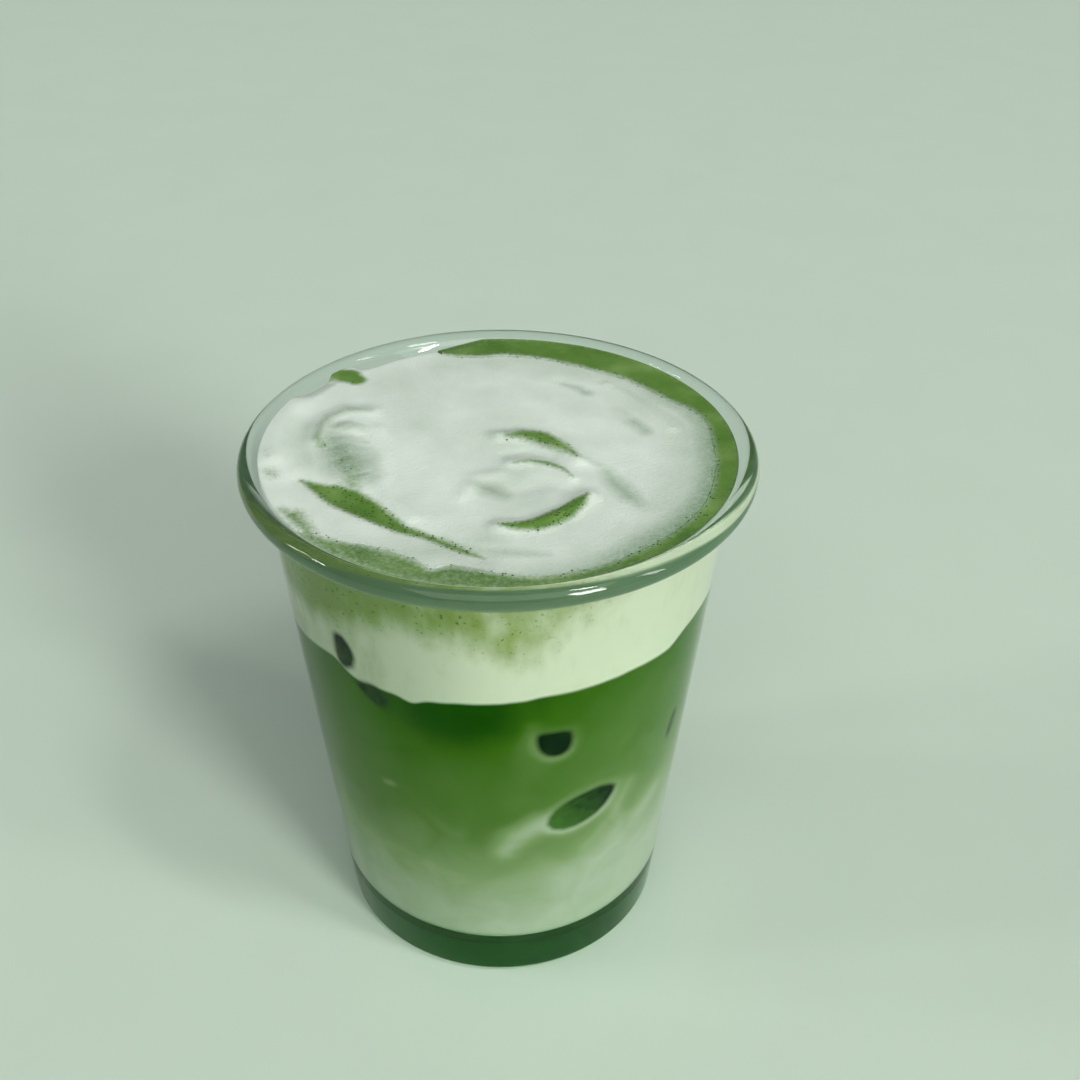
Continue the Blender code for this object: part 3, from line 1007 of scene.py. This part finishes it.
@dataclass(frozen=True)
class DrinkColours:
    """Where the tea is deep, milky or stained, and where shade is painted on the cream, by azimuth and height
    on the wall.
    """

    form: TumblerForm
    cream_edge: float = 73.5 * MM
    edge_stops: Stops = (
        (-180, 73.4), (-130, 74.2), (-95, 72.6), (-75, 71.4), (-59, 73.2), (-53, 74.0), (-48.5, 74.3),
        (-43.5, 72.2), (-39, 71.8), (-33, 72.3), (-28, 72.3), (-23.5, 71.2), (-20, 72.6), (-12, 73.3),
        (-4, 73.6), (5, 74.0), (11, 74.7), (20, 74.8), (36, 75.1), (50, 74.8), (57, 76.8), (68, 77.6),
        (84, 77.4), (104, 75.0), (140, 72.6), (180, 73.4),
    )
    stain_stops: Stops = (
        (-110, 90), (-70, 84), (-55, 83), (-45, 86), (-35, 87.5), (-27, 88.5), (-20, 87.5), (-13, 86.5),
        (-6, 85.5), (-2, 83), (3, 81.3), (7, 83), (10, 85), (13, 86), (18, 88.5), (24, 91.5), (30, 93),
        (45, 94.5), (60, 96), (90, 94), (180, 92),
    )
    stain_strengths: Stops = (
        (-180, 0.6), (-60, 1.05), (-36, 1.0), (-24, 0.95), (-12, 0.85), (0, 0.6), (12, 0.6), (28, 0.42),
        (70, 0.38),
    )
    # How strong the painted shade under the lip is round the glass.
    painted_shade_strengths: Stops = ((-180, 0.8), (-60, 1.0), (-20, 0.95), (20, 0.95), (60, 1.0), (120, 0.9))
    milk_stops: Stops = (
        (8, 0.97), (16, 0.93), (22, 0.85), (28, 0.76), (34, 0.63), (40, 0.54), (47, 0.43), (55, 0.37),
        (62, 0.31), (68, 0.24), (74, 0.17),
    )
    clouds: tuple[Stroke, ...] = (
        Stroke(((0.5, 35.5, 2.0), (3.0, 39.0, 3.0), (6.5, 42.0, 2.5)), 0.9, 3.0),
        Stroke(((3.0, 47.0, 2.0), (4.0, 53.0, 2.5), (5.0, 58.0, 2.0)), 0.5, 5.0),
        Stroke(((3.6, 58.0, 1.6), (4.0, 62.5, 1.8), (5.0, 67.5, 1.0)), 0.47, 1.8),
        Stroke(((16.0, 33.0, 1.5), (22.0, 38.0, 1.5), (25.0, 45.0, 0.8)), 0.82, 3.0),
        Stroke(((12.0, 22.0, 3.0), (22.0, 28.0, 3.0), (34.0, 36.0, 2.0)), 0.97, 5.0),
        Stroke(((-22.0, 48.0, 0.5), (-20.4, 48.4, 0.6)), 0.7, 1.0),
        Stroke(((-8.0, 11.0, 1.2), (0.0, 12.5, 1.6), (8.0, 12.0, 1.4)), 1.0, 2.5),
    )
    wall_scale: float = 0.6
    edge_width: float = 1.6 * MM
    window_softness: float = 1.4
    # Milkiness of the drink's bottom face: painted shade, a little greener and darker than the milk, for the
    # foot to mirror.
    underside_shade: float = 0.8
    stain_fading: float = 11.0
    blot_place: tuple[float, float] = (-16.5, 86.2)
    blot_size: float = 2.2

    def boundary(self, azimuth: np.ndarray) -> np.ndarray:
        """Height of the cream's lower edge on the wall at some azimuths."""
        return closed_curve(self.edge_stops, azimuth) * MM

    def cream_share(self, azimuth: np.ndarray, height: np.ndarray) -> np.ndarray:
        """How much of the drink is cream at some places on the wall, from 0 to 1."""
        return 0.5 + (height - self.boundary(azimuth)) / self.edge_width

    def milk_wave(self, azimuth: np.ndarray, out: np.ndarray) -> np.ndarray:
        """How far the milk's top is lifted at some azimuths and shares of the foot's radius."""
        return out * (1.6 * np.sin(np.radians(azimuth) + 0.5) + 0.7 * np.cos(2 * np.radians(azimuth))) * MM

    def stain_and_shade(self, azimuth: np.ndarray, height: np.ndarray) -> np.ndarray:
        """How strongly green tea has stained the cream behind the wall at some places, with a painted shade on
        the left, from 0 to 1.
        """
        over = height / MM - closed_curve(self.stain_stops, azimuth, 1.2)
        share = soft_step(0.5 + over / self.stain_fading) * closed_curve(self.stain_strengths, azimuth, 5)
        # A painted shade, in the yellow-green of the tea's staining, lies over all of the cream on the left,
        # the side away from the key light, and one blot hangs low in front.
        share += 0.3 * soft_step((-22 - azimuth) / 18) * soft_step((azimuth + 150) / 40)
        blot = np.hypot((azimuth - self.blot_place[0]) * self.wall_scale, height / MM - self.blot_place[1])
        return np.maximum(share, 0.42 * soft_step(1.4 - blot / self.blot_size))

    def painted_shade(self, azimuth: np.ndarray, height: np.ndarray) -> np.ndarray:
        """How much painted shade, in grey-green, covers the cream under the lip and down the left side, from 0
        to 1.
        """
        # The painted shade starts just under the lip, a little lower on the right, and thins out down the left
        # side, which faces away from the key light.
        start = 94.4 - 0.9 * soft_step((azimuth - 25) / 30)
        share = soft_step((height / MM - start) / 0.9) * closed_curve(self.painted_shade_strengths, azimuth, 6)
        return np.maximum(share, 0.34 * soft_step((6 - azimuth) / 36) * soft_step((azimuth + 150) / 40))

    def milky(self, azimuth: np.ndarray, height: np.ndarray) -> np.ndarray:
        """How milky the drink is at some places on the wall.

        Args:
            azimuth: Azimuths in degrees.
            height: Heights above the table.

        Returns:
            From 0, pure tea, to 1, milk.
        """
        level = height / MM
        stops = np.array(self.milk_stops)
        share = np.interp(level, stops[:, 0], stops[:, 1])
        # The tea is deepest in front just under the cream, and paler all over on the right.
        share -= 0.24 * np.exp(-(((azimuth + 13) / 19) ** 2) - ((level - 69) / 8) ** 2)
        share += 0.14 * soft_step(azimuth / 40)
        for cloud in self.clouds:
            weight = cloud.share(azimuth * self.wall_scale, level) / cloud.strength
            share += (np.maximum(cloud.strength, share) - share) * soft_step(weight)
        for spot in ICE_SPOTS:
            across, up = spot.on_wall(azimuth, height, self.form.bore_radius(np.array([spot.height]))[0])
            edge = np.exp(-((np.maximum(spot.outside(across, up), 0) / 1.5) ** 2)) * spot.halo
            low = 0.65 + 0.35 * np.clip(-up / 4, -1, 1)
            share = np.maximum(share, share + (1 - share) * edge * low)
        return share

    def windows(self, azimuth: np.ndarray, height: np.ndarray) -> tuple[np.ndarray, np.ndarray]:
        """Finds where ice shows through a thin layer of drink.

        Args:
            azimuth: Azimuths in degrees.
            height: Heights above the table.

        Returns:
            How much ice shows, and how clear it is, both from 0 to 1.
        """
        shown, light = np.zeros_like(height), np.zeros_like(height)
        for spot in ICE_SPOTS:
            across, up = spot.on_wall(azimuth, height, self.form.bore_radius(np.array([spot.height]))[0])
            here = soft_step(0.5 - spot.outside(across, up) / self.window_softness)
            light = np.where(here > 0, spot.lightness(across, up), light)
            shown = np.maximum(shown, here)
        return shown, light


ICE_SPOTS = (
    IceSpot(
        "ice_cube_left_high", -44.0, 77.5 * MM,
        (
            (-1.4, 3.4), (0.2, 3.4), (1.4, 2.1), (2.2, 0.6), (2.3, -1.0), (1.5, -3.1), (-0.1, -4.3),
            (-1.4, -4.2), (-2.2, -3.2), (-2.5, -1.4), (-2.4, 1.0), (-2.2, 2.6),
        ),
        (7.5 * MM, 8.0 * MM, 7 * MM), (0.18, 0.0),
    ),
    IceSpot(
        "ice_cube_left_low", -36.5, 70.0 * MM,
        (
            (-3.2, 1.3), (-2.0, 1.8), (-0.4, 2.5), (1.1, 2.5), (2.2, 2.0), (3.3, 1.4), (3.6, -0.3), (3.0, -1.7),
            (1.7, -2.5), (0.4, -2.2), (-0.8, -1.4), (-2.1, -0.3), (-3.1, 0.6),
        ),
        (8.5 * MM, 7.0 * MM, 7 * MM), (0.1, 0.25),
    ),
    IceSpot(
        "ice_cube_middle", 14.3, 63.3 * MM,
        (
            (-2.9, 2.2), (-1.8, 2.6), (-0.7, 2.4), (0.4, 2.4), (1.6, 2.4), (2.9, 1.8), (3.3, 0.2), (3.2, -1.3),
            (2.7, -2.7), (1.6, -3.6), (0.2, -3.8), (-1.2, -3.3), (-2.4, -2.0), (-3.0, -0.2), (-3.1, 1.2),
        ),
        (8.5 * MM, 8.5 * MM, 8 * MM), (0.0, 0.0), 0.5,
    ),
    IceSpot(
        "ice_cube_front", 23.7, 44.2 * MM,
        (
            (7.2, 2.4), (6.9, 0.8), (5.6, -1.5), (3.7, -3.2), (1.5, -4.3), (-0.7, -4.9), (-2.8, -5.0),
            (-4.9, -4.2), (-6.0, -2.6), (-5.7, -0.6), (-4.6, 1.2), (-3.1, 2.4), (-1.2, 3.3), (1.2, 3.9),
            (3.8, 4.1), (5.9, 3.5),
        ),
        (11.5 * MM, 8.5 * MM, 7.5 * MM), (0.95, -0.1), 0.9,
    ),
    IceSpot(
        "ice_cube_right", 60.0, 52.3 * MM,
        ((1.4, 3.0), (2.0, 1.2), (1.6, -1.2), (0.6, -3.2), (-0.4, -3.6), (-1.0, -1.8), (-0.6, 1.0), (0.4, 2.8)),
        (7.0 * MM, 8.0 * MM, 6.5 * MM), (0.3, 0.2),
    ),
)


@dataclass
class Tumbler:
    """The drinking glass."""

    form: TumblerForm
    finish: ClearGlass = field(default_factory=ClearGlass)
    lip_finish: ClearGlass = field(
        default_factory=lambda: ClearGlass("fire_polished_lip", "f2f8f5", 1.0, 1.5, wave_strength=0.03)
    )
    # The foot's strong green is the glass's own faint cast and a painted reflection: it stands for the green
    # bottom of the drink, which the foot mirrors.
    foot_finish: ClearGlass = field(
        default_factory=lambda: ClearGlass("foot_glass_green_cast_and_painted_reflection", "86ff98", 0.0, 1.3)
    )
    lip_depth: float = 4.2 * MM
    foot_margin: float = 0.2 * MM
    segments: int = 224

    def build(self) -> bpy.types.Object:
        """Turns the glass and hangs it on the frame."""
        piece = lathe("tumbler_glass", self.form.section(), self.segments)
        finish_piece(piece, self.finish.make(), ("glass_tumbler",))
        piece.data.materials.append(self.lip_finish.make())
        piece.data.materials.append(self.foot_finish.make())
        centres = np.empty(len(piece.data.polygons) * 3, np.float32)
        piece.data.polygons.foreach_get("center", centres)
        on_lip = centres[2::3] > self.form.height - self.lip_depth
        on_foot = centres[2::3] < self.form.base_thickness - self.foot_margin
        piece.data.polygons.foreach_set("material_index", np.where(on_lip, 1, 2 * on_foot).astype(np.int32))
        piece.data.update()
        return piece


@dataclass
class DrinkLayer:
    """One layer of the drink, turned to fill the glass and reach just into its wall."""

    name: str
    node: str
    slot: Slot
    form: TumblerForm
    colours: DrinkColours
    bottom: float
    top: float
    reach: float = 0.2 * MM
    segments: int = 448
    row_height: float = 0.4 * MM
    cap_rings: int = 6

    def outline(self) -> list[Vector]:
        """The layer's section, from the axis at its bottom round to the axis at its top."""
        rows = max(int((self.top - self.bottom) / self.row_height), 2)
        heights = np.linspace(self.bottom, self.top, rows).tolist()
        return self.form.filling(heights, self.reach, self.cap_rings, self.cap_rings)

    def build(self, finish: DrinkFinish, lift_bottom: bool) -> bpy.types.Object:
        """Turns the layer, waves its faces, paints its masks and dresses it.

        Args:
            finish: What the layer looks like.
            lift_bottom: Whether its lower face follows the milk's wavy top.

        Returns:
            The layer's piece.
        """
        piece = lathe(self.name, self.outline(), self.segments)
        points = positions(piece)
        x, y, height = points.T
        azimuth = azimuths(x, y)
        share = (height - self.bottom) / (self.top - self.bottom)
        radius = np.hypot(x, y)
        out = radius / self.form.foot_radius
        milk_wave = self.colours.milk_wave(azimuth, out)
        cream_wave = np.minimum(out, 1) * (self.colours.boundary(azimuth) - self.colours.cream_edge)
        lift = share * (cream_wave if self.slot is Slot.TEA else milk_wave)
        if lift_bottom:
            lift += (1 - share) * milk_wave
        moved = height + lift
        scale = (self.form.bore_radius(moved) + self.reach) / (self.form.bore_radius(height) + self.reach)
        move_points(piece, np.column_stack((x * scale, y * scale, moved)))
        milky = self.colours.milky(azimuth, moved)
        # Painted shade: the bottom face, seen in the foot, is a little greener and darker than the milk.
        milky = np.where(height < self.form.base_thickness, self.colours.underside_shade, milky)
        paint(piece, Mask.MILKINESS, milky)
        paint(piece, Mask.CREAM, self.colours.cream_share(azimuth, moved))
        shown, light = self.colours.windows(azimuth, moved)
        paint(piece, Mask.WINDOW, shown)
        paint(piece, Mask.HAZE, light)
        finish_piece(piece, finish.make(), (self.node,))
        return piece


@dataclass
class IceCube:
    """A half-melted cube, sunk in the drink and pressed flat where it meets the wall."""

    spot: IceSpot
    form: TumblerForm
    drink_reach: float = 0.2 * MM
    window_rise: float = 0.1 * MM
    window_margin: float = 0.88
    shoulder_slope: float = 0.3
    shoulder: float = 5.0
    press: float = 0.6 * MM
    rounding: float = 0.3
    smoothings: int = 5

    def build(self) -> bpy.types.Object:
        """Models the cube at the origin, then sets it against the wall and presses its window flat."""
        spot = self.spot
        deselect_all()
        bpy.ops.mesh.primitive_cube_add(size=2, location=(0, 0, 0))
        piece = bpy.context.object
        piece.name = piece.data.name = spot.name
        bpy.ops.object.mode_set(mode="EDIT")
        bpy.ops.mesh.select_all(action="SELECT")
        bpy.ops.mesh.bevel(offset=self.rounding, segments=1, affect="EDGES")
        bpy.ops.object.mode_set(mode="OBJECT")
        melted = piece.modifiers.new("melted", "SUBSURF")
        melted.levels = melted.render_levels = self.smoothings
        bpy.ops.object.modifier_apply(modifier=melted.name)
        points = positions(piece)
        points /= np.abs(points).max(0)
        across, up, depth = (points * np.array(spot.half_sizes)).T
        turn = math.radians(spot.azimuth)
        outward = np.array((math.sin(turn), -math.cos(turn)))
        beside = np.array((math.cos(turn), math.sin(turn)))
        surface = self.form.bore_radius(np.array([spot.height]))[0] + self.drink_reach
        flat = outward * (surface + self.press - spot.half_sizes[2] + depth)[:, None] + beside * across[:, None]
        height = spot.height + up
        azimuth = azimuths(*flat.T)
        right, above = spot.on_wall(azimuth, height, surface - self.drink_reach)
        away = spot.outside(right, above)
        sunk = np.maximum(away + self.window_margin, 0)
        rise = self.window_rise - (self.shoulder_slope * sunk + sunk**2 / (2 * self.shoulder)) * MM
        radius = np.hypot(*flat.T)
        limit = np.minimum(radius, self.form.bore_radius(height) + self.drink_reach + rise)
        flat *= (limit / radius)[:, None]
        move_points(piece, np.column_stack((flat, height)))
        paint(piece, Mask.HAZE, spot.lightness(right, above))
        paint(piece, Mask.WINDOW, np.ones_like(height))
        # The cube's face is opaque, with the shade of the drink behind it painted on.
        finish_piece(piece, IceFinish(name=f"clear_{spot.name}").make())
        return piece


@dataclass
class Foam:
    """The cream foam with its swirled top, and the band of tea froth in it along the wall."""

    form: TumblerForm
    surface: FoamSurface
    colours: DrinkColours
    reach: float = 0.2 * MM
    segments: int = 448
    bottom_rings: int = 6
    top_rings: int = 128
    side_rows: int = 56
    top_share: float = 0.999
    shaped_from: float = 0.7
    shaped_over: float = 0.3
    bottom_overlap: float = 0.2 * MM
    bed_softness: float = 0.6 * MM
    band_depth: float = 2.0 * MM
    band_overlap: float = 0.5 * MM
    bed_depth: float = 0.8 * MM
    least_band: float = 1.2 * MM
    band_rise: float = 0.05 * MM
    band_sinking: float = 0.45 * MM

    def clamp_to_wall(self, points: np.ndarray) -> np.ndarray:
        """Draws points in so that none stands further into the wall than the foam reaches."""
        radius = np.hypot(points[:, 0], points[:, 1])
        limit = self.form.bore_radius(points[:, 2]) + self.reach
        scale = np.where(radius > limit, limit / np.maximum(radius, 1e-9), 1)
        return points * np.column_stack((scale, scale, np.ones_like(scale)))

    def side_masks(self, piece: bpy.types.Object, points: np.ndarray) -> None:
        """Paints the masks of the foam's side, which shows through the wall."""
        x, y, height = points.T
        azimuth = azimuths(x, y)
        paint(piece, Mask.STAIN, self.colours.stain_and_shade(azimuth, height))
        paint(piece, Mask.MILKINESS, self.colours.milky(azimuth, height))
        paint(piece, Mask.CREAM, self.colours.cream_share(azimuth, height))
        paint(piece, Mask.WINDOW, self.colours.windows(azimuth, height)[0])
        # The painted shade under the lip and down the left side.
        paint(piece, Mask.FILM, self.colours.painted_shade(azimuth, height))

    def top_masks(self, piece: bpy.types.Object, points: np.ndarray) -> None:
        """Paints the masks of the foam's top."""
        paint(piece, Mask.FROTH, self.surface.froth_share(points[:, 0], points[:, 1]))
        paint(piece, Mask.HAZE, self.surface.haze_share(points[:, 0], points[:, 1]))
        paint(piece, Mask.PITS, self.surface.pit_share(points[:, 0], points[:, 1]))

    def build_cream(self) -> bpy.types.Object:
        """Turns the cream, shapes its top and its lower edge, and dresses top and side.

        Returns:
            The cream's piece.
        """
        bottom = self.colours.cream_edge - self.bottom_overlap
        top = self.surface.level
        heights = np.linspace(bottom, top, self.side_rows).tolist()
        outline = self.form.filling(heights, self.reach, self.bottom_rings, self.top_rings)
        piece = lathe("cream_foam_body", outline, self.segments)
        points = positions(piece)
        x, y, height = points.T
        azimuth = azimuths(x, y)
        radius = np.hypot(x, y)
        share = (height - bottom) / (top - bottom)
        edge = self.colours.boundary(azimuth) - self.colours.cream_edge
        bed = soft_step((radius - self.surface.band_edge(azimuth)) / self.bed_softness)
        lift_top = self.surface.height(x, y) - self.surface.level - self.bed_depth * bed
        near_top = soft_step((share - self.shaped_from) / self.shaped_over)
        lift = (1 - share) * np.minimum(radius / self.form.foot_radius, 1) * edge + near_top * lift_top
        moved = height + lift
        scale = (self.form.bore_radius(moved) + self.reach) / (self.form.bore_radius(height) + self.reach)
        on_top = share > self.top_share
        scale = np.where(on_top, 1, scale)
        points = self.clamp_to_wall(np.column_stack((x * scale, y * scale, moved)))
        move_points(piece, points)
        self.top_masks(piece, points)
        self.side_masks(piece, points)
        finish_piece(piece, FoamFinish(name="whipped_milk_foam").make(), ("cream_foam",))
        piece.data.materials.append(DrinkFinish(name="cream_behind_glass").make())
        self.dress_side(piece, on_top)
        return piece

    def dress_side(self, piece: bpy.types.Object, on_top: np.ndarray) -> None:
        """Gives the faces below the top edge the finish of foam behind glass."""
        loops = np.empty(len(piece.data.loops), np.int32)
        piece.data.loops.foreach_get("vertex_index", loops)
        starts = np.empty(len(piece.data.polygons), np.int32)
        piece.data.polygons.foreach_get("loop_start", starts)
        counts = np.add.reduceat(on_top[loops].astype(int), starts)
        sizes = np.diff(np.append(starts, len(loops)))
        piece.data.polygons.foreach_set("material_index", (counts < sizes).astype(np.int32))
        piece.data.update()

    def build_band(self) -> bpy.types.Object:
        """Bends a grid round the wall into the froth band, follows the foam's top and gives it its depth.

        Returns:
            The band's piece.
        """
        first, last = self.surface.band_span
        deselect_all()
        bpy.ops.mesh.primitive_grid_add(x_subdivisions=560, y_subdivisions=26, size=2, location=(0, 0, 0))
        piece = bpy.context.object
        piece.name = piece.data.name = "matcha_froth_rim"
        points = positions(piece)
        azimuth = first + (last - first) * (points[:, 0] + 1) / 2
        wall = self.surface.wall
        inner = np.minimum(self.surface.band_edge(azimuth), wall - self.least_band) - self.band_overlap
        outer = wall + self.reach
        radius = inner + (outer - inner) * (points[:, 1] + 1) / 2
        x, y = radius * np.sin(np.radians(azimuth)), -radius * np.cos(np.radians(azimuth))
        rise = self.band_rise - self.band_sinking * (1 - soft_step((radius - inner) / self.band_overlap))
        move_points(piece, np.column_stack((x, y, self.surface.height(x, y) + rise)))
        bpy.ops.object.mode_set(mode="EDIT")
        bpy.ops.mesh.select_all(action="SELECT")
        bpy.ops.mesh.normals_make_consistent(inside=False)
        bpy.ops.object.mode_set(mode="OBJECT")
        if piece.data.polygons[0].normal.z < 0:
            piece.data.flip_normals()
        depth = piece.modifiers.new("depth", "SOLIDIFY")
        depth.thickness = self.band_depth
        depth.offset = -1
        bpy.ops.object.modifier_apply(modifier=depth.name)
        points = self.clamp_to_wall(positions(piece))
        move_points(piece, points)
        self.top_masks(piece, points)
        finish_piece(piece, FoamFinish(name="whisked_matcha_froth").make(), ("matcha_froth_band",))
        return piece


@dataclass(frozen=True)
class SoftBox:
    """A flat soft light that looks at the drink.

    Attributes:
        name: The light's name.
        azimuth: Its direction from the drink, in degrees.
        elevation: Its height over the horizon, in degrees.
        distance: How far it hangs.
        size: Its width and height.
        radiance: How bright its face is; the floor's own is about 0.5.
        colour: Its light's colour.
    """

    name: str
    azimuth: float
    elevation: float
    distance: float
    size: tuple[float, float]
    radiance: float
    colour: str = "fbfff8"

    def hang(self) -> None:
        """Makes the light and turns its face to the drink."""
        turn, rise = math.radians(self.azimuth), math.radians(self.elevation)
        away = Vector((math.sin(turn) * math.cos(rise), -math.cos(turn) * math.cos(rise), math.sin(rise)))
        data = bpy.data.lights.new(self.name, "AREA")
        data.shape = "RECTANGLE"
        data.size, data.size_y = self.size
        data.energy = self.radiance * math.pi * self.size[0] * self.size[1]
        data.color = linear(self.colour)[:3]
        box = bpy.data.objects.new(self.name, data)
        box.location = away * self.distance + MIDDLE
        box.rotation_euler = away.to_track_quat("Z", "Y").to_euler()
        bpy.context.scene.collection.objects.link(box)


@dataclass
class Studio:
    """A plain pale floor, plain soft light and the camera at the photograph's angle."""

    floor_size: float = 6.0
    floor_drop: float = 0.2 * MM
    focal_share: float = 1450 / 1080
    sensor: float = 36.0
    camera_place: tuple[float, float, float] = (0.0, -217.9 * MM, 230.2 * MM)
    pitch: float = 34.44
    yaw: float = 1.92
    roll: float = 0.56
    lights: tuple[SoftBox, ...] = (
        SoftBox("key_softbox", 36.0, 22.0, 28.0, (6.0, 12.0), 22.5),
        SoftBox("front_softbox", 6.0, 48.0, 28.0, (36.0, 26.0), 1.2),
        SoftBox("side_softbox", 66.0, 24.0, 28.0, (3.0, 13.0), 9.0),
        SoftBox("left_strip", -95.0, 28.0, 28.0, (2.0, 8.4), 9.0),
        SoftBox("left_glint_strip", -82.0, 30.0, 6.0, (0.64, 0.40), 38.0),
        SoftBox("glint_strip", 49.0, 59.0, 1.5, (0.09, 0.30), 40.0),
    )
    fill: str = "e0e4ea"
    fill_strength: float = 0.2

    def build(self) -> None:
        """Makes the floor, the lights, the surroundings and the camera."""
        self.build_floor()
        self.build_lights()
        self.build_camera()
        bpy.context.scene.view_settings.view_transform = "Standard"

    def build_floor(self) -> None:
        """Lays the floor just under the foot."""
        deselect_all()
        bpy.ops.mesh.primitive_plane_add(size=self.floor_size, location=(0, 0, -self.floor_drop))
        floor = bpy.context.object
        floor.name = floor.data.name = "studio_floor"
        bpy.ops.object.transform_apply(location=True, rotation=True, scale=True)
        floor.data.materials.append(FloorFinish().make())

    def build_lights(self) -> None:
        """Hangs the soft lights, most of them in front and on the right, and lights the rest dimly."""
        for light in self.lights:
            light.hang()
        world = bpy.data.worlds.new("soft_surroundings")
        world.use_nodes = True
        background = world.node_tree.nodes["Background"]
        background.inputs["Color"].default_value = linear(self.fill)
        background.inputs["Strength"].default_value = self.fill_strength
        bpy.context.scene.world = world

    def build_camera(self) -> None:
        """Sets the camera where the photograph was taken from."""
        pitch, yaw, roll = (math.radians(angle) for angle in (self.pitch, self.yaw, self.roll))
        forward = Vector((math.sin(yaw) * math.cos(pitch), math.cos(yaw) * math.cos(pitch), -math.sin(pitch)))
        level_right = Vector((math.cos(yaw), -math.sin(yaw), 0))
        level_up = level_right.cross(forward)
        right = math.cos(roll) * level_right + math.sin(roll) * level_up
        up = -math.sin(roll) * level_right + math.cos(roll) * level_up
        data = bpy.data.cameras.new("camera")
        data.sensor_width = self.sensor
        data.lens = self.focal_share * self.sensor
        data.clip_start = 0.01
        data.clip_end = 20
        camera = bpy.data.objects.new("camera", data)
        axes = Matrix((right, up, -forward)).transposed()
        camera.matrix_world = Matrix.Translation(self.camera_place) @ axes.to_4x4()
        bpy.context.scene.collection.objects.link(camera)
        bpy.context.scene.camera = camera


def main() -> None:
    """Builds the drink and the studio in order."""
    logging.basicConfig(level=logging.INFO, format="%(message)s")
    low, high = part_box("glass_tumbler")
    form = TumblerForm(height=high.z - low.z, lip_radius=(high.x - low.x) / 2)
    colours = DrinkColours(form)
    Tumbler(form).build()
    bottom = form.base_thickness - BASE_OVERLAP
    milk = DrinkLayer("milk_body", "milk_layer", Slot.MILK, form, colours, bottom, MILK_TOP)
    milk.build(DrinkFinish(name="milk_clouded_with_tea"), lift_bottom=False)
    tea = DrinkLayer(
        "matcha_tea_body", "matcha_layer", Slot.TEA, form, colours, MILK_TOP - LAYER_OVERLAP,
        colours.cream_edge, TEA_REACH,
    )
    tea.build(DrinkFinish(name="whisked_matcha_tea"), lift_bottom=True)
    foam = Foam(form, FoamSurface(form), colours)
    foam.build_cream()
    foam.build_band()
    for spot in ICE_SPOTS:
        IceCube(spot, form).build()
    Studio().build()


if __name__ == "__main__":
    main()
